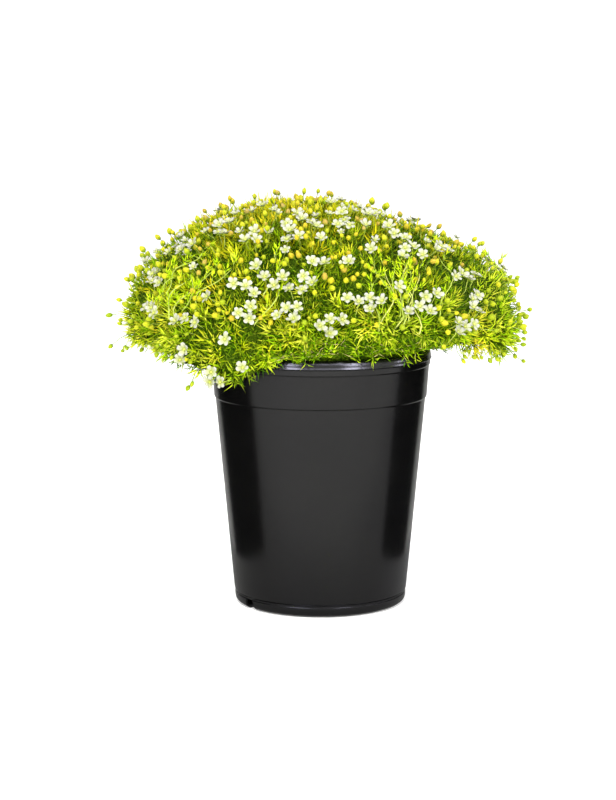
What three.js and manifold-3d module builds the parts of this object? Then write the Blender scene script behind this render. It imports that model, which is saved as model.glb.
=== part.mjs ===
// Irish moss in a black plastic nursery pot, in millimetres, +Z up.
// The origin is the middle of the pot's underside, and the front of the plant faces -Y.
// The moss is a dome of leafy clumps that fills the pot and hangs over its rim, with white
// five-petalled blooms and round buds on thin stalks.
import * as THREE from 'three';
import { mergeVertices } from 'three/addons/utils/BufferGeometryUtils.js';
import Module from 'manifold-3d';

const wasm = await Module();
wasm.setup();

// Pot
const POT_HEIGHT = 181;
const POT_SIDES = 32;
const WALL = 1.4;
const FLOOR_TOP = 2.8;
const WALL_FOOT = 10.6;
const FOOT = { flat: 57.2, bead: 60.8, groove: 60, wall: 61.2 };
const SHOULDER = { radius: 74.1, height: 147.6 };
const BAND = { low: 74.9, top: 77.1, height: 170 };
const LIP_RADIUS = 77.9;
const LIP_INNER_RADIUS = 74.6;
const PAD_RADIUS = 24;
const FOOT_RING_INNER = 50;
const RECESS = 1.2;
const NOTCH = { width: 8, height: 4.5, turns: [-145, 35] };
const DRAIN = { radius: 4.5, ring: 38, count: 4 };

// Potting mix
const FIT = 0.35;
const SOIL_TOP = 170.7;

// Dome of leaf tips: plan radius, height of the hanging underside and rise at every 45 degrees,
// from +X round by the back, and where one clump droops over the rim at the front left
const PLAN_RADIUS = [142, 139, 131, 137, 140, 116, 98, 120];
const UNDERSIDE = [172, 176, 176, 175, 177, 166, 191, 186];
const RISE_ASIDE = [77, 80, 85, 88, 89, 87, 84, 80];
const DROOP = { azimuth: 238, width: 13, depth: 9 };
const WIDEST_HEIGHT = 200;
const DOME_RISE = 86;
const DOME_POWER = 2.2;
const SKIRT_TUCK = 14;
const LUMP = { depth: 0.018, counts: [5, 8, 13], turns: [0.7, 2.1, 4.4] };

// Clumps: the leafless core lies this far inside the leaf tips, and plan cells part the clumps
const CORE_INSET = 6;
const CORE_ROUGH = 4;
const ROOT_DEPTH = 6;
const CORE_TURNS = 22;
const CLUMP_GAP = 0.5;
const CLUMP_SEEDS = { inner: 4, innerShare: 0.42, outer: 7, outerShare: 0.83, outerStart: 12 };
const NECK = { outer: 82.6, over: 80.6, inner: 72.7, top: 190, fall: 3, rimTop: 183.2 };

// Leafy shoots, buds and blooms
const SHOOTS = 130;
const NEEDLES_ROUND = 5;
const NEEDLE_LENGTH = 9.5;
const UPRIGHT_SHARE = 0.8;
const KNOB = { radius: 1.5, above: 0.6, highTilt: 32, lowTilt: 100 };
const NEEDLE_TILT = 56;
const NEEDLE_STEPS = 24;
const NEEDLE_LEAST = 3;
const BUDS = 46;
const BUD = { radius: 2, length: 5, stalk: 0.5, above: 4.5 };
const PETAL = { length: 4.2, halfWidth: 17, thickness: 0.7, cup: 0.6 };
const PETAL_GAP = 2.1;
const CALYX_DEPTH = 1.8;
const BLOOM_ABOVE = 1.5;
const BLOOM_ROOM = 9.2;
const BUD_ROOM = 7.6;
const STALK_RADIUS = 0.7;
const BLOOMS_A_STALK = 3;
const CLEAR = 0.35;

// Sprays of blooms, each bloom given as it is seen from the front by an eye on the -Y side:
// right of the axis and above the ground, on the upright plane through the axis
const EYE = new THREE.Vector3(0, -1600, 379);
const SIGHT = { near: 1430, far: 1760 };
const SPRAYS_IN_FRONT = [
  [[-71, 267], [-61, 268], [-73, 261], [-61, 260]],
  [[-46, 261], [-44, 255], [-53, 252]],
  [[-24, 268], [-20, 261], [-25, 259], [-17, 257]],
  [[-16, 275], [-11, 269], [-1, 272], [0, 266]],
  [[-98, 249], [-90, 248], [-85, 257]],
  [[-113, 227], [-123, 228], [-124, 239]],
  [[-45, 236], [-40, 231]],
  [[-61, 225], [-53, 225], [-43, 219]],
  [[-32, 224], [-26, 230], [-22, 222]],
  [[-12, 231], [-15, 224], [-10, 219]],
  [[-6, 241], [0, 240]],
  [[15, 275], [17, 268], [14, 263], [22, 263]],
  [[37, 274], [31, 272]],
  [[47, 265], [52, 260], [58, 256]],
  [[65, 252], [59, 250], [52, 243]],
  [[83, 251], [87, 250], [85, 244]],
  [[98, 232], [104, 229], [106, 236], [93, 225]],
  [[19, 216], [26, 210], [31, 217], [38, 211], [35, 205]],
  [[81, 217], [72, 215], [69, 210], [65, 204], [75, 203]],
  [[110, 218], [104, 211], [101, 203], [109, 206]],
  [[97, 194], [95, 190], [107, 192], [116, 187]],
  [[-118, 209], [-125, 201], [-116, 202]],
  [[-102, 193], [-93, 197], [-90, 192]],
  [[-96, 180], [-100, 172]],
  [[-58, 205], [-51, 202], [-51, 193]],
  [[-24, 206], [-14, 205], [-27, 199], [-18, 197]],
  [[15, 198], [1, 196], [-4, 187], [5, 186]],
  [[-79, 164], [-81, 158], [-72, 155]],
  [[-80, 216]],
  [[-67, 187]],
  [[-56, 167]],
  [[0, 257]],
  [[35, 249]],
  [[20, 242]],
  [[55, 222]],
  [[71, 245]],
];
// Sprays on the far side, in degrees round the axis from +X, with how far down the dome each
// lies (0 at the top, 1 at the widest) and its number of blooms
const SPRAYS_BEHIND = [
  [18, 0.74, 4], [42, 0.42, 3], [60, 0.9, 4], [78, 0.62, 3], [92, 0.3, 3],
  [104, 0.96, 3], [124, 0.68, 4], [146, 0.44, 3], [160, 0.88, 4], [34, 1.04, 3],
];
const BEHIND = { apart: 9, radius: 74 };

const UP = new THREE.Vector3(0, 0, 1);
const GOLDEN_TURN = Math.PI * (3 - Math.sqrt(5));

// A repeatable draw between 0 and 1 for thing i, kind k
function draw(i, k) {
  const wave = Math.sin(i * 127.1 + k * 311.7) * 43758.5453;
  return wave - Math.floor(wave);
}

function radians(degrees) {
  return (degrees * Math.PI) / 180;
}

// A closed geometry as a solid for joining and cutting
function solidOf(geometry) {
  const bare = geometry.clone();
  bare.deleteAttribute('normal');
  bare.deleteAttribute('uv');
  const merged = mergeVertices(bare, 1e-4);
  const corners = merged.index.array;
  const kept = [];
  for (let i = 0; i < corners.length; i += 3) {
    const [a, b, c] = [corners[i], corners[i + 1], corners[i + 2]];
    if (a !== b && b !== c && c !== a) {
      kept.push(a, b, c);
    }
  }
  return new wasm.Manifold(new wasm.Mesh({
    numProp: 3,
    vertProperties: new Float32Array(merged.attributes.position.array),
    triVerts: new Uint32Array(kept),
  }));
}

// A solid as a geometry again; of several bodies only the largest stays
function geometryOf(solid) {
  const bodies = solid.decompose();
  bodies.sort((one, other) => other.volume() - one.volume());
  const mesh = bodies[0].getMesh();
  const geometry = new THREE.BufferGeometry();
  geometry.setAttribute('position', new THREE.BufferAttribute(mesh.vertProperties, 3));
  geometry.setIndex(new THREE.BufferAttribute(mesh.triVerts, 1));
  geometry.computeVertexNormals();
  return geometry;
}

// Moves each vertex of a geometry to where a rule sends it
function reshape(geometry, rule) {
  const places = geometry.attributes.position;
  const place = new THREE.Vector3();
  for (let i = 0; i < places.count; i += 1) {
    place.fromBufferAttribute(places, i);
    const moved = rule(place.clone());
    places.setXYZ(i, moved.x, moved.y, moved.z);
  }
  return geometry;
}

// Stands a geometry that was made round +Z at a place, with its axis along a direction
function stand(geometry, place, axis, turn = 0) {
  geometry.rotateZ(turn);
  geometry.applyQuaternion(new THREE.Quaternion().setFromUnitVectors(UP, axis));
  geometry.translate(place.x, place.y, place.z);
  return geometry;
}

// A body turned round the upright axis from pairs of radius and height
function turned(pairs, sides) {
  const profile = pairs.map(([radius, height]) => new THREE.Vector2(radius, height));
  return new THREE.LatheGeometry(profile, sides).rotateX(Math.PI / 2);
}

// Reads a list given at even steps round the axis, smoothly, at any azimuth
function around(list, azimuth) {
  const turns = azimuth / (2 * Math.PI);
  const at = (turns - Math.floor(turns)) * list.length;
  const here = Math.floor(at);
  const part = at - here;
  const [a, b, c, d] = [-1, 0, 1, 2].map((step) => list[(here + step + list.length) % list.length]);
  return b + 0.5 * part * (c - a + part * (2 * a - 5 * b + 4 * c - d + part * (3 * (b - c) + d - a)));
}

function planRadius(azimuth) {
  let lump = 0;
  LUMP.counts.forEach((count, i) => {
    lump += Math.sin(count * azimuth + LUMP.turns[i]);
  });
  return around(PLAN_RADIUS, azimuth) * (1 + LUMP.depth * lump);
}

// How far the skirt hangs below the widest height
function skirtFall(azimuth) {
  const turn = azimuth - radians(DROOP.azimuth);
  const off = Math.atan2(Math.sin(turn), Math.cos(turn)) / radians(DROOP.width);
  return WIDEST_HEIGHT - around(UNDERSIDE, azimuth) + DROOP.depth * Math.exp(-off * off);
}

// A point of the leaf-tip dome: way is 0 at the top, 1 at the widest, 1.5 under the skirt
function domePoint(azimuth, way) {
  const radius = planRadius(azimuth);
  const fall = skirtFall(azimuth);
  const share = Math.sin((Math.min(way, 1) * Math.PI) / 2);
  let out = radius * share;
  let height = WIDEST_HEIGHT;
  if (way <= 1) {
    const rise = DOME_RISE + (around(RISE_ASIDE, azimuth) - DOME_RISE) * Math.sqrt(share);
    height += rise * Math.max(Math.cos((way * Math.PI) / 2), 0) ** (2 / DOME_POWER);
  } else {
    const tuck = (way - 1) * Math.PI;
    out = radius - SKIRT_TUCK * (1 - Math.cos(tuck));
    height -= fall * Math.sin(tuck);
  }
  return new THREE.Vector3(out * Math.cos(azimuth), out * Math.sin(azimuth), height);
}

function domeNormal(azimuth, way) {
  const small = 0.01;
  const low = Math.max(way, 0.03);
  const along = domePoint(azimuth, low + small).sub(domePoint(azimuth, low - small));
  const round = domePoint(azimuth + small, low).sub(domePoint(azimuth - small, low));
  return along.cross(round).normalize();
}

// How far down the dome a share of its area lies, for spreading things evenly
const DOME_BANDS = 60;
const DOME_END = 1.4;
const bandAreas = [0];
for (let i = 0; i < DOME_BANDS; i += 1) {
  const low = domePoint(0, (DOME_END * i) / DOME_BANDS);
  const high = domePoint(0, (DOME_END * (i + 1)) / DOME_BANDS);
  const middle = Math.hypot(low.x + high.x, low.y + high.y) / 2;
  bandAreas.push(bandAreas[i] + middle * low.distanceTo(high));
}
function wayOfShare(share) {
  const wanted = share * bandAreas[DOME_BANDS];
  let band = 0;
  while (bandAreas[band + 1] < wanted) {
    band += 1;
  }
  const part = (wanted - bandAreas[band]) / (bandAreas[band + 1] - bandAreas[band]);
  return (DOME_END * (band + part)) / DOME_BANDS;
}

// Where a sight line meets the dome, as azimuth and way; one that misses takes the nearest rim
function seenOnDome(right, up) {
  const target = new THREE.Vector3(right, 0, up);
  const sight = target.clone().sub(EYE).normalize();
  let best = { miss: Infinity };
  for (let reach = SIGHT.near; reach < SIGHT.far; reach += 1) {
    const spot = EYE.clone().addScaledVector(sight, reach);
    const azimuth = Math.atan2(spot.y, spot.x);
    const share = Math.hypot(spot.x, spot.y) / planRadius(azimuth);
    const over = (Math.asin(Math.min(share, 1)) * 2) / Math.PI;
    const above = spot.z > WIDEST_HEIGHT;
    const high = above ? (spot.z - domePoint(azimuth, over).z) / DOME_RISE : 0;
    const miss = Math.max(high, share - 1);
    if (miss < best.miss) {
      const drop = Math.min(Math.max((WIDEST_HEIGHT - spot.z) / skirtFall(azimuth), 0), 1);
      best = { miss, azimuth, way: above ? over : 1 + Math.asin(drop) / Math.PI };
    }
    if (miss <= 0) {
      break;
    }
  }
  return best;
}

// The pot is moulded black plastic: a straight taper with a foot bead, a ledge, an upper band
// and a rolled lip, and underneath a flat foot, drain notches and drain holes
function pot() {
  const profile = [
    [0, 0],
    [PAD_RADIUS, 0],
    [PAD_RADIUS + RECESS, RECESS],
    [FOOT_RING_INNER - RECESS, RECESS],
    [FOOT_RING_INNER, 0],
    [FOOT.flat, 0],
    [FOOT.bead - 0.6, 2.6],
    [FOOT.bead, 5.2],
    [FOOT.groove, 7.2],
    [FOOT.wall, WALL_FOOT],
    [SHOULDER.radius, SHOULDER.height],
    [BAND.low, SHOULDER.height + 2],
    [BAND.top, BAND.height],
    [BAND.top - 0.6, BAND.height + 1.2],
    [BAND.top - 0.5, 173.6],
    [LIP_RADIUS, 175.4],
    [LIP_RADIUS, 178.6],
    [LIP_RADIUS - 1.5, POT_HEIGHT],
    [LIP_INNER_RADIUS + 0.7, POT_HEIGHT],
    [LIP_INNER_RADIUS, 178.5],
    [BAND.top - 0.2 - WALL, BAND.height],
    [SHOULDER.radius - WALL, SHOULDER.height + 0.4],
    [FOOT.wall - WALL, WALL_FOOT],
    [FOOT.groove - WALL, FLOOR_TOP],
    [0, FLOOR_TOP],
  ];
  let body = solidOf(turned(profile, POT_SIDES));
  for (const degrees of NOTCH.turns) {
    const depth = 2 * (FOOT.bead - FOOT_RING_INNER);
    const cut = new THREE.BoxGeometry(depth, NOTCH.width, 2 * NOTCH.height);
    cut.translate(FOOT.bead, 0, 0).rotateZ(radians(degrees));
    body = body.subtract(solidOf(cut));
  }
  for (let i = 0; i < DRAIN.count; i += 1) {
    const hole = new THREE.CylinderGeometry(DRAIN.radius, DRAIN.radius, 3 * FLOOR_TOP, 10);
    hole.rotateX(Math.PI / 2).translate(DRAIN.ring, 0, FLOOR_TOP);
    hole.rotateZ(((i + 0.5) * 2 * Math.PI) / DRAIN.count);
    body = body.subtract(solidOf(hole));
  }
  return body;
}

// The potting mix fills the pot to below the rim
function soil() {
  const sides = POT_SIDES / 2;
  return solidOf(turned([
    [0, FLOOR_TOP + FIT],
    [FOOT.groove - WALL - 2 * FIT, FLOOR_TOP + FIT],
    [FOOT.wall - WALL - FIT, WALL_FOOT],
    [SHOULDER.radius - WALL - FIT, SHOULDER.height],
    [BAND.top - WALL - 3 * FIT, SOIL_TOP - 2],
    [70, SOIL_TOP],
    [0, SOIL_TOP],
  ], sides));
}

// The rough core of the whole dome: it lies inside the leaf tips, turns under at the skirt,
// narrows to a neck over the pot's rim and stands on the potting mix
const CORE_WAYS = [0.24, 0.46, 0.66, 0.84, 1.02, 1.25, 1.5];
function wholeCore() {
  const rows = CORE_WAYS.length + 5;
  const ball = new THREE.SphereGeometry(1, CORE_TURNS, rows).rotateX(Math.PI / 2);
  return solidOf(reshape(ball, (place) => {
    const row = Math.round((Math.acos(Math.min(Math.max(place.z, -1), 1)) / Math.PI) * rows);
    const azimuth = Math.atan2(place.y, place.x);
    if (row === 0) {
      return new THREE.Vector3(0, 0, WIDEST_HEIGHT + DOME_RISE - CORE_INSET);
    }
    if (row <= CORE_WAYS.length) {
      const way = CORE_WAYS[row - 1];
      const step = Math.round((azimuth * CORE_TURNS) / (2 * Math.PI) + CORE_TURNS) % CORE_TURNS;
      const inset = CORE_INSET + CORE_ROUGH * (draw(row, step) - 0.5);
      return domePoint(azimuth, way).addScaledVector(domeNormal(azimuth, way), -inset);
    }
    const under = Math.min(around(UNDERSIDE, azimuth) + CORE_INSET, NECK.top);
    const steps = [
      [NECK.outer, under],
      [NECK.over, Math.max(under - NECK.fall, NECK.rimTop)],
      [NECK.inner, NECK.rimTop],
      [NECK.inner - 1, SOIL_TOP + FIT],
      [0, SOIL_TOP + FIT],
    ];
    const [radius, height] = steps[row - CORE_WAYS.length - 1];
    return new THREE.Vector3(radius * Math.cos(azimuth), radius * Math.sin(azimuth), height);
  }));
}

// Middles of the clumps in plan: one crown, an inner ring and an outer ring
function clumpSeeds() {
  const seeds = [new THREE.Vector2(2, 8)];
  for (let i = 0; i < CLUMP_SEEDS.inner; i += 1) {
    const azimuth = ((i + 0.25) * 2 * Math.PI) / CLUMP_SEEDS.inner;
    const radius = CLUMP_SEEDS.innerShare * planRadius(azimuth);
    seeds.push(new THREE.Vector2(radius * Math.cos(azimuth), radius * Math.sin(azimuth)));
  }
  for (let i = 0; i < CLUMP_SEEDS.outer; i += 1) {
    const azimuth = (i * 2 * Math.PI) / CLUMP_SEEDS.outer + radians(CLUMP_SEEDS.outerStart);
    const radius = CLUMP_SEEDS.outerShare * planRadius(azimuth);
    seeds.push(new THREE.Vector2(radius * Math.cos(azimuth), radius * Math.sin(azimuth)));
  }
  return seeds;
}

// The upright planes between a clump's middle and the others, each as a way out and its limit
function cellLimits(seeds, own) {
  return seeds.filter((seed) => seed !== own).map((seed) => {
    const out = seed.clone().sub(own).normalize();
    const middle = seed.clone().add(own).multiplyScalar(0.5);
    return { out, limit: middle.dot(out) - CLUMP_GAP / 2 };
  });
}

// A clump's cell in plan, cut from a wide square by each limit in turn
function cellPrism(limits) {
  const half = 200;
  let ring = [[-half, -half], [half, -half], [half, half], [-half, half]]
    .map(([x, y]) => new THREE.Vector2(x, y));
  for (const { out, limit } of limits) {
    const kept = [];
    ring.forEach((corner, i) => {
      const next = ring[(i + 1) % ring.length];
      const here = corner.dot(out) - limit;
      const there = next.dot(out) - limit;
      if (here <= 0) {
        kept.push(corner);
      }
      if (here * there < 0) {
        kept.push(corner.clone().lerp(next, here / (here - there)));
      }
    });
    ring = kept;
  }
  const prism = new THREE.ExtrudeGeometry(new THREE.Shape(ring), { depth: 200, bevelEnabled: false });
  return solidOf(prism.translate(0, 0, 150));
}

// A leafy shoot: a small knob drawn out into needles, one upright and the rest round it
function shoot(number, fits, middle, axis) {
  const round = NEEDLES_ROUND;
  const directions = [new THREE.Vector3(0, 0, 1), new THREE.Vector3(0, 0, -1)];
  const ring = (tilt, shift) => {
    for (let i = 0; i < round; i += 1) {
      const turn = ((i + shift) * 2 * Math.PI) / round;
      directions.push(new THREE.Vector3(
        Math.sin(tilt) * Math.cos(turn),
        Math.sin(tilt) * Math.sin(turn),
        Math.cos(tilt),
      ));
    }
  };
  ring(radians(NEEDLE_TILT), 0);
  ring(radians(KNOB.highTilt), 0.5);
  ring(radians(KNOB.lowTilt), 0.5);
  const faces = [];
  for (let i = 0; i < round; i += 1) {
    const next = (i + 1) % round;
    const needle = 2 + next;
    const [highHere, highNext] = [2 + round + i, 2 + round + next];
    const [lowHere, lowNext] = [2 + 2 * round + i, 2 + 2 * round + next];
    faces.push(0, highHere, highNext, needle, highNext, highHere, needle, highHere, lowHere);
    faces.push(needle, lowHere, lowNext, needle, lowNext, highNext, 1, lowNext, lowHere);
  }
  const flat = directions.flatMap((one) => one.toArray());
  const burst = new THREE.PolyhedronGeometry(flat, faces, 1, 0);
  const shaped = reshape(burst, (way) => {
    const which = directions.findIndex((one) => one.distanceTo(way) < 1e-3);
    if (which > round + 1 || which === 1) {
      return way.multiplyScalar(which === 1 ? ROOT_DEPTH : KNOB.radius);
    }
    const length = NEEDLE_LENGTH * (0.85 + 0.3 * draw(number, 10 + which));
    return way.multiplyScalar(which === 0 ? UPRIGHT_SHARE * length : length);
  });
  stand(shaped, new THREE.Vector3(), axis, 2 * Math.PI * draw(number, 3));
  // A needle stops short of the next clump, the blooms and the pot
  return reshape(shaped, (way) => {
    let reach = NEEDLE_LEAST;
    while (reach < NEEDLE_STEPS
      && fits(middle.clone().addScaledVector(way, (reach + 1) / NEEDLE_STEPS))) {
      reach += 1;
    }
    way.multiplyScalar(reach / NEEDLE_STEPS);
    return way.add(middle);
  });
}

// A round bud that hangs or stands on a thin stalk; root is inside the clump
function bud(root, tip) {
  const axis = tip.clone().sub(root);
  const length = axis.length();
  const shape = turned([
    [0, 0],
    [BUD.stalk, 0],
    [BUD.stalk, length - BUD.length],
    [BUD.radius, length - 0.55 * BUD.length],
    [0.55 * BUD.radius, length - 0.08 * BUD.length],
    [0, length],
  ], 4);
  return stand(shape, root, axis.normalize());
}

// The straight stalk under a bloom
function stalk(root, tip) {
  const axis = tip.clone().sub(root);
  const length = axis.length();
  const shape = new THREE.ConeGeometry(STALK_RADIUS, length, 3);
  shape.rotateX(Math.PI / 2).translate(0, 0, length / 2);
  return stand(shape, root, axis.normalize());
}

// Lays a spray out in one plane: each bloom joins one that is already there, petal to petal,
// as near as it can to where it is wanted and clear of every other bloom
const taken = [];
function layOut(spots) {
  const axis = new THREE.Vector3();
  for (const spot of spots) {
    axis.add(domeNormal(spot.azimuth, spot.way));
  }
  axis.normalize();
  const origin = domePoint(spots[0].azimuth, spots[0].way).addScaledVector(axis, BLOOM_ABOVE);
  for (const { place } of taken) {
    const apart = origin.clone().sub(place);
    if (apart.length() < BLOOM_ROOM) {
      apart.addScaledVector(axis, -apart.dot(axis)).normalize();
      origin.addScaledVector(apart, BLOOM_ROOM - origin.distanceTo(place));
    }
  }
  const frame = new THREE.Quaternion().setFromUnitVectors(UP, axis);
  const back = frame.clone().invert();
  const wanted = spots.map((spot) => (
    domePoint(spot.azimuth, spot.way).sub(origin).applyQuaternion(back)
  ));
  const fifth = (2 * Math.PI) / 5;
  const reach = 2 * PETAL.length * Math.cos(radians(PETAL.halfWidth));
  const look = wanted[1] || new THREE.Vector3(1, 0, 0);
  const blooms = [{ x: 0, y: 0, turn: Math.atan2(look.y, look.x), place: origin, joined: [] }];
  for (const want of wanted.slice(1)) {
    const options = [];
    blooms.forEach((old) => {
      for (let petal = 0; petal < 5; petal += 1) {
        const turn = old.turn + petal * fifth;
        const x = old.x + reach * Math.cos(turn);
        const y = old.y + reach * Math.sin(turn);
        const place = new THREE.Vector3(x, y, 0).applyQuaternion(frame).add(origin);
        const others = [...taken, ...blooms].filter((one) => one !== old);
        if (others.every((one) => one.place.distanceTo(place) > BLOOM_ROOM)) {
          const off = Math.hypot(x - want.x, y - want.y);
          options.push({ x, y, turn: turn + Math.PI, place, off, old, petal });
        }
      }
    });
    options.sort((one, other) => one.off - other.off);
    const { x, y, turn, place, old, petal } = options[0];
    old.joined.push(petal);
    blooms.push({ x, y, turn, place, joined: [0] });
  }
  taken.push(...blooms);
  return { blooms, axis, origin };
}

// The blooms of a spray as one body. Five blunt petals stand round a shallow cup, over a calyx
// that narrows to a point, and joined petals share their outer edge.
function sprayOfBlooms({ blooms, axis, origin }) {
  const corners = [];
  const faces = [];
  const corner = (x, y, z) => {
    const spot = new THREE.Vector3(x, y, z);
    const found = corners.findIndex((old) => old.distanceTo(spot) < 0.05);
    return found >= 0 ? found : corners.push(spot) - 1;
  };
  for (const { x, y, turn, joined } of blooms) {
    const at = (degrees, radius, height) => corner(
      x + radius * Math.cos(turn + radians(degrees)),
      y + radius * Math.sin(turn + radians(degrees)),
      height,
    );
    const middle = corner(x, y, 0);
    const calyx = corner(x, y, -CALYX_DEPTH);
    const { length, halfWidth, thickness, cup } = PETAL;
    for (let petal = 0; petal < 5; petal += 1) {
      const way = 72 * petal;
      const right = at(way - halfWidth, length, cup);
      const left = at(way + halfWidth, length, cup);
      const rightLow = at(way - halfWidth, length, cup - thickness);
      const leftLow = at(way + halfWidth, length, cup - thickness);
      const [before, after] = [at(way - 36, PETAL_GAP, 0.1), at(way + 36, PETAL_GAP, 0.1)];
      faces.push(middle, before, right, middle, right, left, middle, left, after);
      faces.push(calyx, rightLow, before, calyx, leftLow, rightLow, calyx, after, leftLow);
      faces.push(before, rightLow, right, left, leftLow, after);
      if (!joined.includes(petal)) {
        faces.push(right, rightLow, leftLow, right, leftLow, left);
      }
    }
  }
  const geometry = new THREE.BufferGeometry().setFromPoints(corners).setIndex(faces);
  return solidOf(stand(geometry, origin, axis));
}

// A spray on the far side: its blooms lie round its middle
function sprayBehind([degrees, way, count], number) {
  const spots = [];
  for (let i = 0; i < count; i += 1) {
    const turn = i * GOLDEN_TURN + 2 * Math.PI * draw(number, 21);
    const apart = (i === 0 ? 0 : BEHIND.apart) / BEHIND.radius;
    const azimuth = radians(degrees) + apart * Math.cos(turn);
    spots.push({ azimuth, way: way + (apart * Math.sin(turn)) / 2 });
  }
  return spots;
}

const sprays = [
  ...SPRAYS_IN_FRONT.map((spots) => spots.map(([right, up]) => seenOnDome(right, up))),
  ...SPRAYS_BEHIND.map(sprayBehind),
].map(layOut);

// Places where shoots or buds grow, spread evenly over the dome
function spread(count, firstTurn) {
  const places = [];
  for (let i = 0; i < count; i += 1) {
    const azimuth = (i * GOLDEN_TURN + firstTurn) % (2 * Math.PI);
    places.push({ number: i, azimuth, way: wayOfShare((i + 0.5) / count) });
  }
  return places;
}

const seeds = clumpSeeds();
const core = wholeCore();
const shootPlaces = spread(SHOOTS, 0.4);
const budPlaces = spread(BUDS, 2.9);

function owner(place) {
  const flat = new THREE.Vector2(place.x, place.y);
  const gaps = seeds.map((seed) => seed.distanceTo(flat));
  return gaps.indexOf(Math.min(...gaps));
}

function inPot(spot) {
  const radius = Math.hypot(spot.x, spot.y);
  const onRim = radius > LIP_INNER_RADIUS - 1 && spot.z < POT_HEIGHT + 0.8;
  return radius < LIP_RADIUS + 1 && (onRim || spot.z < SOIL_TOP + FIT);
}

function inBloom(spot) {
  return sprays.some(({ blooms, axis }) => blooms.some(({ place }) => {
    const apart = spot.clone().sub(place);
    const along = apart.dot(axis);
    const aside = Math.sqrt(Math.max(apart.lengthSq() - along * along, 0));
    const widest = PETAL.length + 2 * CLEAR;
    const nearCup = along > -PETAL.thickness - CLEAR && along < PETAL.cup + 2 * CLEAR;
    const nearCalyx = along > -CALYX_DEPTH - CLEAR && along < 0;
    return (nearCup && aside < widest) || (nearCalyx && aside < widest / 2);
  }));
}

// Moves a spot straight into its clump's cell, at least a margin inside each limit
function intoCell(spot, limits, margin) {
  for (const { out, limit } of limits) {
    const past = spot.x * out.x + spot.y * out.y - limit + margin;
    if (past > 0) {
      spot.x -= past * out.x;
      spot.y -= past * out.y;
    }
  }
  return spot;
}

// Everything that grows from one clump, joined with its part of the core
function clump(own) {
  const limits = cellLimits(seeds, seeds[own]);
  const fits = (spot) => !inPot(spot) && !inBloom(spot)
    && limits.every(({ out, limit }) => spot.x * out.x + spot.y * out.y < limit);
  let body = core.intersect(cellPrism(limits));
  for (const { number, azimuth, way } of shootPlaces) {
    const axis = domeNormal(azimuth, way);
    const middle = domePoint(azimuth, way).addScaledVector(axis, KNOB.above - CORE_INSET);
    if (owner(middle) === own) {
      intoCell(middle, limits, 2 * KNOB.radius);
      body = body.add(solidOf(shoot(number, fits, middle, axis)));
    }
  }
  for (const { number, azimuth, way } of budPlaces) {
    const axis = domeNormal(azimuth, way);
    const root = domePoint(azimuth, way).addScaledVector(axis, -CORE_INSET - ROOT_DEPTH);
    const lean = new THREE.Vector3(draw(number, 31) - 0.5, draw(number, 32) - 0.5, 0.2);
    const above = BUD.above + 2 * draw(number, 33);
    const tip = domePoint(azimuth, way).addScaledVector(axis, above).addScaledVector(lean, 5);
    const clear = [0.5, 0.75, 0.9].every((part) => {
      const spot = root.clone().lerp(tip, part);
      return taken.every(({ place }) => place.distanceTo(spot) > BUD_ROOM) && !inPot(spot);
    });
    if (owner(root) === own && clear) {
      intoCell(root, limits, 1);
      body = body.add(solidOf(bud(root, intoCell(tip, limits, BUD.radius + 0.3))));
    }
  }
  for (const { blooms, axis } of sprays) {
    blooms.filter((bloom, i) => i % BLOOMS_A_STALK === 0).forEach(({ place }) => {
      if (owner(place) === own) {
        const root = place.clone().addScaledVector(axis, -CORE_INSET - BLOOM_ABOVE - ROOT_DEPTH);
        const tip = place.clone().addScaledVector(axis, -CALYX_DEPTH - CLEAR);
        body = body.add(solidOf(stalk(intoCell(root, limits, 1), tip)));
      }
    });
  }
  return body;
}

// Materials
const plastic = { color: 0x1b1b1a, roughness: 0.22, metalness: 0 };
const mix = { color: 0x2e2118, roughness: 0.95, metalness: 0 };
const white = { color: 0xf4f5ea, roughness: 0.6, metalness: 0 };
const greens = [0x8fae1c, 0x7fa31a, 0x9cb820, 0x76991a];

const group = new THREE.Group();
function addPiece(name, solid, finish) {
  const mesh = new THREE.Mesh(geometryOf(solid), new THREE.MeshStandardMaterial(finish));
  mesh.name = name;
  group.add(mesh);
}

function twoDigits(number) {
  return String(number).padStart(2, '0');
}

addPiece('pot', pot(), plastic);
addPiece('soil', soil(), mix);
seeds.forEach((seed, i) => {
  const finish = { color: greens[i % greens.length], roughness: 0.7, metalness: 0 };
  addPiece(`moss_clump_${twoDigits(i + 1)}`, clump(i), finish);
});
sprays.forEach((spray, i) => {
  addPiece(`bloom_spray_${twoDigits(i + 1)}`, sprayOfBlooms(spray), white);
});

export default group;
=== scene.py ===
# Irish moss in a black plastic nursery pot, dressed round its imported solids.
# Lengths are in millimetres until a mesh is made. +Z is up and the front of the plant faces -Y.
import math
import bmesh
import bpy
import numpy as np
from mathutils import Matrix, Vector, noise


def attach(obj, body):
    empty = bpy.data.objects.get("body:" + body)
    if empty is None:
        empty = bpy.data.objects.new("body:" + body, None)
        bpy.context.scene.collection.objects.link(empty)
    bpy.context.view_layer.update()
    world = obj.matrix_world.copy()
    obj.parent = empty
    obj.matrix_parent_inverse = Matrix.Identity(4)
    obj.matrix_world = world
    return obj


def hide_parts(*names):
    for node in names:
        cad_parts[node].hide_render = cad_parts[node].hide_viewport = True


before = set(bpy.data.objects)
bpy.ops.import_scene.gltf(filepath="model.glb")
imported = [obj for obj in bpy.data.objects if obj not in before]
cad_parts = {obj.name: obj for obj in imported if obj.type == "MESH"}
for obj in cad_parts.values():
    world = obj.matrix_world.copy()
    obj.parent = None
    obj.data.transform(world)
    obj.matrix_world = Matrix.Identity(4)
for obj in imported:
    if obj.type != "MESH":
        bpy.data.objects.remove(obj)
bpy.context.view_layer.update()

# Camera
# It stands well in front of the pot and a little above the leaves, with a long lens, and looks
# down at the plant. The pot stood just right of the picture's middle, so it is turned left a little.
CAMERA_PLACE = (0.0, -1.600, 0.379)
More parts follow.
